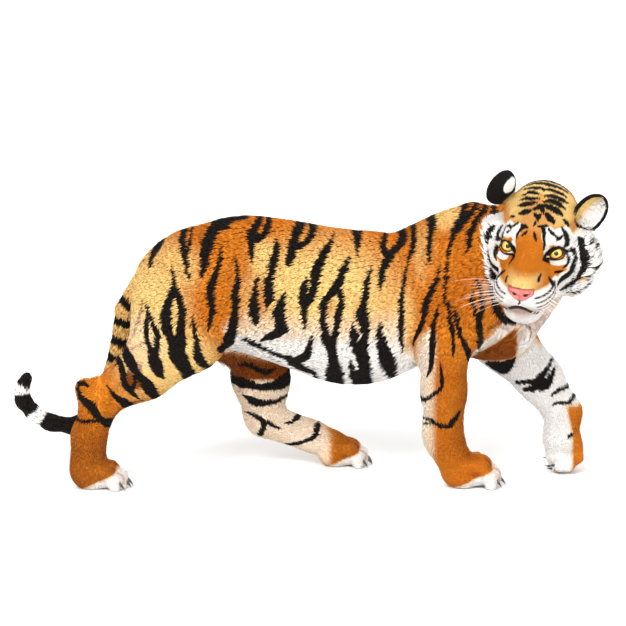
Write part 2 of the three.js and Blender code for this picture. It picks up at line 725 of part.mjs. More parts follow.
const bodySolids = {};
for (const [name, region] of Object.entries(regions)) {
  bodySolids[name] = bodySolid(name, region);
  add(name, bodySolids[name], ["shank_left", "foreleg_left"].includes(name) ? "pale_coat" : "coat");
}

// ---- The tail, from the rump, in two lengths ----

const tailParting = { lo: [-1100, -80, 0], hi: [-704, 120, 420] }; // what is in here is the tip's
const wholeTail = solidOf(thinned(meshOf(tailField, [-1040, -60, 120], [-500, 110, 740], 9), 440));
const tailRoot = wholeTail
  .subtract(boxSolid(tailParting.lo, tailParting.hi, gap / 2))
  .subtract(grown(bodySolids.rump, gap * 1.5, animal));
add("tail_root", largest(tailRoot), "coat");
const tailTip = wholeTail.intersect(boxSolid(tailParting.lo, tailParting.hi, -gap / 2));
add("tail_tip", largest(tailTip), "dark_coat");

// ---- Claws: a hooked cone out of each toe, cut where the toe holds it ----

function clawCone() {
  const rootInside = 6;
  const geometry = new THREE.ConeGeometry(clawRadius, clawLength, 6, 3)
    .rotateZ(-Math.PI / 2)
    .translate(clawLength / 2 - rootInside, 0, 0); // along x
  const position = geometry.getAttribute("position");
  for (let i = 0; i < position.count; i++) {
    const x = Math.max(position.getX(i), 0);
    position.setZ(i, position.getZ(i) - (x * x) / 85); // the hook
  }
  return geometry;
}
const clawSolid = solidOfGeometry(clawCone());
const claws = {
  // A claw starts back from the toe's end and up from its tip; droop is the angle it points down.
  foreRight: { paw: "forepaw_right", word: "fore_right", droop: 34, back: 4, up: 11 },
  foreLeft: { paw: "forepaw_left", word: "fore_left", droop: 74, back: 25, up: -12 },
  hindRight: { paw: "hindpaw_right", word: "hind_right", droop: 34, back: 4, up: 11 },
  hindLeft: { paw: "hindpaw_left", word: "hind_left", droop: 34, back: 4, up: 11 },
};
for (const [key, { paw, word, droop, back, up }] of Object.entries(claws)) {
  const leg = legs[key];
  const pawGrown = grown(bodySolids[paw], gap * 1.5, animal);
  toePlaces.forEach((place, i) => {
    const at = [toeReach(leg.long, place) - back, toeY(leg.width, place) * 1.04, toeTip(leg) + up];
    const frame = leg.frame.clone().multiply(frameOf({ at, pitch: droop }));
    const clear = boxSolid([-far, -far, 1.5], [far, far, far], 0); // above the floor
    const claw = atFrame(clawSolid, frame).subtract(pawGrown).intersect(clear);
    add(`claw_${word}_${i + 1}`, largest(claw), "claw");
  });
}

// The origin is under the middle of the whole animal.
const box = new THREE.Box3().setFromObject(tiger, true);
const middle = box.getCenter(new THREE.Vector3());
tiger.position.set(-middle.x, -middle.y, -box.min.z);

export default tiger;
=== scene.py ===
import math

import bmesh
import bpy
import numpy as np
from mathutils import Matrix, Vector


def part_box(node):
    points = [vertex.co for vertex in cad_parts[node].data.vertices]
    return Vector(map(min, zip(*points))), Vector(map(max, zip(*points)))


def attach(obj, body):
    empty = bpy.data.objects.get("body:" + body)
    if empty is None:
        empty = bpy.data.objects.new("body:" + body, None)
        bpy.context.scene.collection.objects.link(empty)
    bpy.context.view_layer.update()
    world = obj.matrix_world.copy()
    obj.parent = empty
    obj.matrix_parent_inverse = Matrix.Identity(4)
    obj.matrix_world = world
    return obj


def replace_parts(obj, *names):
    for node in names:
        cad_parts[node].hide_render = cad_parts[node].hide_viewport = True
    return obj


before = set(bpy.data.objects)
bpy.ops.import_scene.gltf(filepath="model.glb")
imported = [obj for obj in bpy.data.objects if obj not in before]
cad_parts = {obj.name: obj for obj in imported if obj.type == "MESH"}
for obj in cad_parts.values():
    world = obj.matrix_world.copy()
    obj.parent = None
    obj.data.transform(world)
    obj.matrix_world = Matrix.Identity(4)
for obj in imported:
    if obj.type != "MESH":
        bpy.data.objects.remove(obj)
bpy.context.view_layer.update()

import openvdb
from mathutils import Vector

# The animal's own numbers are in millimetres, from the same zero as its solids' numbers: x the way
# it walks, y to its left, z up. The head and the paws have frames of their own.

print("shape")

# Soft masses. A field is below zero inside them.


def smooth(a, b, x):  # 0 at a to 1 at b
    t = np.clip((x - a) / (b - a), 0, 1)
    return t * t * (3 - 2 * t)


def blendTo(a, b, t):
    return a + (b - a) * t


def unit(v, shortest=1e-6):  # each row at length 1, where it has a length
    return v / np.maximum(np.linalg.norm(v, axis=-1, keepdims=True), shortest)


def bone(a, b, ra, rb, wide=1.0, blend=40.0):  # a round bar from a to b
    a, b = np.array(a, float), np.array(b, float)
    d = (b - a) / (1, wide, 1)

    def at(x, y, z):
        px, py, pz = x - a[0], (y - a[1]) / wide, z - a[2]
        t = np.clip((px * d[0] + py * d[1] + pz * d[2]) / (d @ d), 0, 1)
        away = np.sqrt((px - t * d[0]) ** 2 + (py - t * d[1]) ** 2 + (pz - t * d[2]) ** 2)
        return away - ra - t * (rb - ra)

    r = max(ra, rb) * max(1, wide)
    return dict(at=at, blend=blend, ends=(a, b), lo=np.minimum(a, b) - r, hi=np.maximum(a, b) + r)


def ball(c, r, blend=40.0):
    def at(x, y, z):
        qx, qy, qz = (x - c[0]) / r[0], (y - c[1]) / r[1], (z - c[2]) / r[2]
        reach = np.sqrt(qx * qx + qy * qy + qz * qz)
        slope = np.sqrt((qx / r[0]) ** 2 + (qy / r[1]) ** 2 + (qz / r[2]) ** 2)
        return np.where(slope > 0, reach * (reach - 1) / np.maximum(slope, 1e-12), -min(r))

    return dict(at=at, blend=blend, lo=np.array(c, float) - r, hi=np.array(c, float) + r)


def along(stations, x, column):  # a smooth curve through one column of the stations
    s = np.array(stations, float)
    i = np.clip(np.searchsorted(s[:, 0], x, side="left") - 1, 0, len(s) - 2)
    k = np.arange(len(s))
    lo, hi = np.maximum(k - 1, 0), np.minimum(k + 1, len(s) - 1)
    slope = (s[hi, column] - s[lo, column]) / (s[hi, 0] - s[lo, 0])
    span = s[i + 1, 0] - s[i, 0]
    t = np.clip((x - s[i, 0]) / span, 0, 1)
    f, g = s[i, column], s[i + 1, column]
    sf, sg = slope[i] * span, slope[i + 1] * span
    return f + t * (sf + t * ((2 * (f - g) + sf + sg) * t + 3 * (g - f) - 2 * sf - sg))


def loft(stations, fullness=2.25, blend=40.0):  # x, back, belly and half width of each section
    s = np.array(stations, float)

    def at(x, y, z):
        inside = np.clip(x, s[0, 0], s[-1, 0])
        back, belly, half = (along(stations, inside, c) for c in (1, 2, 3))
        depth = (back - belly) / 2
        high = np.abs(z - (back + belly) / 2) / depth
        reach = ((np.abs(y) / half) ** fullness + high**fullness) ** (1 / fullness)
        section = (reach - 1) * np.minimum(half, depth)
        return np.maximum(section, np.maximum(s[0, 0] - x, x - s[-1, 0]))

    lo = np.array([s[0, 0], -s[:, 3].max(), s[:, 2].min()])
    return dict(at=at, blend=blend, lo=lo, hi=np.array([s[-1, 0], s[:, 3].max(), s[:, 1].max()]))


def least(a, b, k):  # the smaller, rounded where they are alike
    h = np.maximum(k - np.abs(a - b), 0)
    return np.minimum(a, b) - h * h / (4 * k)


def hollow(mass):
    return dict(mass, cut=True)


def join(total, mass, d):
    if mass.get("cut"):
        return -least(-total, d, mass["blend"])
    return least(total, d, mass["blend"])


def fieldAt(masses, x, y, z):
    x, y, z = np.broadcast_arrays(x, y, z)
    total = np.full(x.shape, 1e3)
    for m in masses:
        lo, hi = m["lo"] - 50 - m["blend"], m["hi"] + 50 + m["blend"]
        near = (x > lo[0]) & (x < hi[0]) & (y > lo[1]) & (y < hi[1]) & (z > lo[2]) & (z < hi[2])
        if near.any():
            total[near] = join(total[near], m, m["at"](x[near], y[near], z[near]))
    return total


def fieldGrid(masses, axes):
    total = np.full([len(a) for a in axes], 1e3, np.float32)
    for m in masses:
        pad = 50 + m["blend"]
        span = [np.searchsorted(a, (l - pad, h + pad)) for a, l, h in zip(axes, m["lo"], m["hi"])]
        if all(b > a for a, b in span):
            part = tuple(slice(a, b) for a, b in span)
            x, y, z = np.ix_(*(a[p] for a, p in zip(axes, part)))
            total[part] = join(total[part], m, m["at"](x, y, z))
    return total


def frameOf(at, yaw=0, pitch=0, roll=0, scale=1):
    y, p, r = (math.radians(v) for v in (yaw, pitch, roll))
    turnZ = np.array([[math.cos(y), -math.sin(y), 0], [math.sin(y), math.cos(y), 0], [0, 0, 1]])
    turnY = np.array([[math.cos(p), 0, math.sin(p)], [0, 1, 0], [-math.sin(p), 0, math.cos(p)]])
    turnX = np.array([[1, 0, 0], [0, math.cos(r), -math.sin(r)], [0, math.sin(r), math.cos(r)]])
    return dict(turn=turnZ @ turnY @ turnX, at=np.array(at, float), scale=scale)


def toBody(f, p):
    return (np.asarray(p, float) * f["scale"]) @ f["turn"].T + f["at"]


def toLocal(f, x, y, z):
    e = f["turn"]
    p = [x - f["at"][0], y - f["at"][1], z - f["at"][2]]
    return [(e[0, i] * p[0] + e[1, i] * p[1] + e[2, i] * p[2]) / f["scale"] for i in range(3)]


def placed(masses, f, blend=24.0):  # masses of a local frame as one mass
    lo = np.min([m["lo"] for m in masses], axis=0)
    hi = np.max([m["hi"] for m in masses], axis=0)
    box = np.stack(np.meshgrid(*zip(lo, hi)), -1).reshape(-1, 3)
    corners = toBody(f, box)

    def at(x, y, z):
        return f["scale"] * fieldAt(masses, *toLocal(f, x, y, z))

    return dict(at=at, blend=blend, lo=corners.min(axis=0), hi=corners.max(axis=0))


trunk = [
    [-596, 660, 560, 40],
    [-566, 710, 520, 92],
    [-516, 768, 490, 128],
    [-450, 822, 472, 152],
    [-340, 884, 458, 164],
    [-220, 908, 432, 168],
    [-70, 893, 380, 184],
    [60, 870, 334, 200],
    [150, 858, 324, 206],
    [240, 850, 334, 204],
    [320, 834, 366, 192],
    [400, 846, 402, 174],
    [480, 918, 420, 158],
    [560, 950, 450, 142],
    [620, 900, 500, 116],
    [665, 800, 590, 60],
]
neck = [
    bone([455, 0, 700], [620, 0, 736], 200, 178, wide=0.8, blend=70),
    bone([620, 0, 736], [730, -16, 800], 178, 150, wide=0.9, blend=50),
    bone([730, -16, 800], [776, -100, 850], 150, 124, blend=50),
    bone([650, 8, 530], [734, 12, 660], 122, 122, blend=100),
]
tailLine = [
    [-560, 0, 670, 50],
    [-622, 6, 580, 42],
    [-652, 14, 440, 35],
    [-696, 22, 300, 32],
    [-752, 30, 205, 31],
    [-820, 36, 168, 31],
    [-895, 40, 178, 31],
    [-952, 42, 208, 30],
    [-990, 42, 256, 29],
    [-994, 42, 298, 27],
    [-976, 42, 334, 23],
]
tail = [bone(a[:3], b[:3], a[3], b[3], blend=14) for a, b in zip(tailLine, tailLine[1:])]

pawSettings = dict(
    foreWidth=156,
    hindWidth=140,
    toePlaces=(-1.5, -0.5, 0.5, 1.5),  # in gaps from the paw's middle
    toeThick=0.162,  # of the paw's width, as the gap is
    toeGap=0.225,
    outerReach=0.84,  # of the inner toes' reach
)


def toeEnd(leg, place):  # a toe's reach, its place across, the height of its tip and its thickness
    thick = leg["width"] * pawSettings["toeThick"]
    reach = leg["long"] * (pawSettings["outerReach"] if abs(place) > 1 else 1)
    tip = leg.get("tip", thick * 0.82)
    return reach, place * leg["width"] * pawSettings["toeGap"], tip, thick


def pawMasses(leg, blend=9):
    width, long, knuckle = leg["width"], leg["long"], leg["knuckle"]
    toes = []
    for place in pawSettings["toePlaces"]:
        reach, y, tip, thick = toeEnd(leg, place)
        bend, end = [reach * 0.48, y, knuckle], [reach - thick * 0.92, y * 1.04, tip]
        middle = [reach - thick * 1.12, y * 1.03, tip * 0.52 + knuckle * 0.48]
        toes += [
            bone([0, y * 0.75, knuckle - 6], bend, thick * 1.08, thick * 1.04, blend=blend),
            bone(bend, middle, thick * 1.04, thick, blend=blend),
            bone(middle, end, thick, thick * 0.9, blend=blend),
        ]
    palm = ball([-6, 0, 42], [width * 0.42, width * 0.43, 48], blend=24)
    under = ball([long * 0.44, 0, knuckle * 0.55], [long * 0.4, width * 0.4, knuckle * 0.5], 16)
    over = ball([long * 0.3, 0, knuckle], [long * 0.46, width * 0.34, 34], blend=20)
    return [palm, under, over] + toes


legs = dict(
    foreRight=dict(
        paw=dict(at=[520, -134, -4], yaw=5),
        width=pawSettings["foreWidth"],
        long=126,
        knuckle=82,
        masses=[
            bone([440, -70, 820], [560, -112, 640], 60, 96, wide=0.66, blend=70),
            bone([560, -112, 630], [446, -132, 484], 98, 86, wide=0.74, blend=50),
            bone([446, -134, 484], [448, -136, 330], 86, 76, wide=0.84, blend=35),
            bone([448, -136, 330], [450, -134, 165], 76, 66, wide=0.88, blend=30),
            bone([450, -134, 165], [494, -134, 76], 66, 60, blend=25),
            ball([406, -134, 200], [26, 28, 40], blend=30),
        ],
    ),
    foreLeft=dict(
        paw=dict(at=[814, 64, 116], yaw=4, pitch=92),
        width=pawSettings["foreWidth"] * 0.96,
        long=126,
        knuckle=104,
        tip=48,
        masses=[
            bone([460, 70, 820], [660, 110, 610], 60, 100, wide=0.7, blend=80),
            bone([660, 110, 610], [672, 120, 452], 106, 104, wide=0.8, blend=60),
            bone([672, 120, 452], [796, 108, 322], 104, 82, wide=0.84, blend=35),
            bone([796, 108, 322], [878, 82, 208], 80, 66, wide=0.88, blend=30),
            bone([878, 82, 208], [876, 66, 120], 64, 60, blend=25),
        ],
    ),
    hindRight=dict(
        paw=dict(at=[-724, -150, -4], yaw=-4),
        width=pawSettings["hindWidth"],
        long=112,
        knuckle=64,
        masses=[
            bone([-410, -60, 700], [-400, -118, 500], 118, 94, wide=0.7, blend=80),
            bone([-490, -56, 650], [-530, -106, 470], 94, 86, wide=0.68, blend=80),
            bone([-384, -122, 478], [-556, -130, 392], 80, 90, wide=0.7, blend=50),
            bone([-556, -130, 392], [-706, -136, 302], 92, 66, wide=0.68, blend=40),
            bone([-706, -136, 312], [-752, -136, 338], 60, 38, wide=0.66, blend=30),
            bone([-706, -136, 290], [-744, -140, 170], 66, 58, wide=0.8, blend=30),
            bone([-744, -140, 170], [-748, -148, 62], 60, 64, wide=0.96, blend=25),
        ],
    ),
    hindLeft=dict(
        paw=dict(at=[94, 150, -4]),
        width=pawSettings["hindWidth"],
        long=112,
        knuckle=70,
        masses=[
            bone([-420, 60, 720], [-200, 124, 500], 118, 100, wide=0.7, blend=80),
            bone([-500, 56, 670], [-320, 112, 476], 96, 92, wide=0.66, blend=80),
            bone([-192, 132, 470], [-172, 142, 310], 108, 98, wide=0.7, blend=50),
            bone([-172, 142, 310], [-160, 146, 186], 98, 72, wide=0.72, blend=40),
            bone([-160, 146, 192], [-200, 146, 198], 46, 32, wide=0.7, blend=30),
            bone([-160, 146, 166], [0, 150, 106], 66, 56, wide=0.84, blend=30),
            bone([0, 150, 106], [76, 150, 76], 56, 54, blend=25),
        ],
    ),
)
for leg in legs.values():
    leg["frame"] = frameOf(**leg["paw"])
    leg["all"] = leg["masses"] + [placed(pawMasses(leg), leg["frame"])]

# The head. Its frame has x to the nose, y to the left ear and z to the crown.
headFrame = frameOf(at=[748, -176, 821], yaw=-110, pitch=24, roll=-7, scale=1.22)
eye = dict(place=(72, 64, 36), radius=20, gaze=(0.76, 0.38, 0.53), wide=18.5, high=10)
sides = (-1, 1)
headMasses = [
    ball([-50, 0, 64], [100, 98, 100], blend=36),  # braincase
    ball([14, 0, 62], [80, 70, 50], blend=44),  # forehead
    bone([44, 0, 46], [176, 0, 6], 36, 23, wide=1.35, blend=34),  # bridge of the nose
    bone([60, 0, -26], [150, 0, -48], 60, 46, blend=26),  # muzzle
    ball([188, 0, -9], [25, 36, 21], blend=14),  # nose
    ball([180, 0, -46], [28, 34, 28], blend=16),  # middle of the upper lip
    ball([158, 0, -106], [38, 50, 32], blend=22),  # chin
    ball([20, 0, -86], [112, 62, 44], blend=40),  # throat
]
for side in sides:
    headMasses += [
        ball([50, side * 48, 56], [34, 30, 20], blend=26),  # brow
        ball([150, side * 37, -47], [56, 44, 41], blend=20),  # whisker pad
        bone([54, side * 50, -12], [150, side * 34, -32], 40, 32, blend=34),  # below the eye
        bone([10, side * 58, -70], [140, side * 22, -88], 42, 30, blend=24),  # lower jaw
        ball([10, side * 78, -18], [80, 54, 66], blend=34),  # cheek
        ball([40, side * 78, 6], [50, 34, 34], blend=26),  # cheekbone
        ball([-30, side * 114, -28], [56, 60, 80], blend=44),  # ruff
        ball([0, side * 98, -80], [60, 48, 48], blend=44),
    ]
headMasses += [bone([-52, -66, 84], [-50, -94, 98], 40, 20, blend=26)]  # root of the right ear
skull = list(headMasses)  # all but the eyes and the ears


def eyeAxes(side):  # the eye's middle, and its own x along the gaze, y to the temple and z up
    gaze = unit(np.array(eye["gaze"]) * (1, side, 1))
    out = unit(np.cross((0, 0, 1), gaze) * side)
    up = np.cross(gaze, out) * side
    return np.array(eye["place"]) * (1, side, 1), np.array([gaze, out, up])


def inEye(side, x, y, z):
    middle, axes = eyeAxes(side)
    p = np.stack([x - middle[0], y - middle[1], z - middle[2]], -1)
    return [p @ a for a in axes]


def lidGap(side, x, y, z):  # below zero between the lids, along the gaze
    ahead, out, up = inEye(side, x, y, z)
    radius = (eye["wide"] ** 2 + eye["high"] ** 2) / (2 * eye["high"])
    shift = radius - eye["high"]
    tilt = up - out * 0.24
    almond = np.maximum(np.hypot(out, tilt + shift), np.hypot(out, tilt - shift)) - radius
    return np.where(ahead > 0, almond, 60)


for side in sides:
    middle, (gaze, out, up) = eyeAxes(side)
    lid = eye["radius"] + 4
    headMasses += [
        hollow(ball(middle + gaze * 22, [24, 27, 22], blend=20)),  # socket
        ball(middle, [lid, lid, lid], blend=12),
        hollow(
            dict(
                at=lambda x, y, z, side=side: lidGap(side, x, y, z),
                blend=2.5,
                lo=middle + gaze * 14 - 30,
                hi=middle + gaze * 14 + 30,
            )
        ),
    ]

ears = dict(
    left=dict(at=[-46, 127, 98], yaw=30, pitch=-4, roll=-33, front=-1, spot=(4, 6)),
    right=dict(at=[-44, -118, 144], yaw=-128, pitch=-16, roll=-14, front=1, spot=(-12, 20)),
)
earSize = dict(halfWidth=46, halfHeight=62, depth=32, thick=8)
for place in ears.values():
    place["frame"] = frameOf(**{k: place[k] for k in ("at", "yaw", "pitch", "roll")})


def earShape(x, y, z, shrink=0):  # an ellipsoid's field, in the ear's frame
    r = [earSize["depth"] - shrink, earSize["halfWidth"] - shrink, earSize["halfHeight"] - shrink]
    return ball((0, 0, 0), r)["at"](x, y, z)


def earMass(place):
    f = place["frame"]

    def at(x, y, z):
        lx, ly, lz = toLocal(f, x, y, z)
        shell = np.maximum(earShape(lx, ly, lz), -earShape(lx, ly, lz, earSize["thick"]))
        return np.maximum(shell, lx - 3)

    reach = earSize["halfHeight"] + 4
    return dict(at=at, blend=9, lo=np.array(place["at"]) - reach, hi=np.array(place["at"]) + reach)


nose = dict(start=186, proud=0.9, cell=1.1, round=5, pit=189, under=2)
noseOutline = [(-35, -4), (-20, 0), (20, 0), (35, -4), (36, -19), (9, -39), (-9, -39), (-36, -19)]


def noseGap(y, z):  # below zero inside the pad's outline, seen from the front
    away = np.full(np.shape(y), 1e3)
    for a, b in zip(noseOutline, noseOutline[1:] + noseOutline[:1]):
        d = unit(np.array(b, float) - a)
        away = least(away, (y - a[0]) * d[1] - (z - a[1]) * d[0], nose["round"])
    return -away


def nosePit(x, y, z):  # the skin is hollow where the pad sits in it
    return np.maximum(noseGap(y, z) + nose["under"], nose["pit"] - x)


pitCorners = np.array([(184, -38, -42), (232, 38, 4)], float)
pit = hollow(dict(at=nosePit, blend=2, lo=pitCorners[0], hi=pitCorners[1]))
faceDetail = [pit]  # grooves and holes that only the skin has
earMasses = [earMass(e) for e in ears.values()]
headAll = headMasses + earMasses


def noseCovers(h):
    return (h[:, 0] > nose["start"] - 8) & (noseGap(h[:, 1], h[:, 2]) < -0.6)


print("markings")

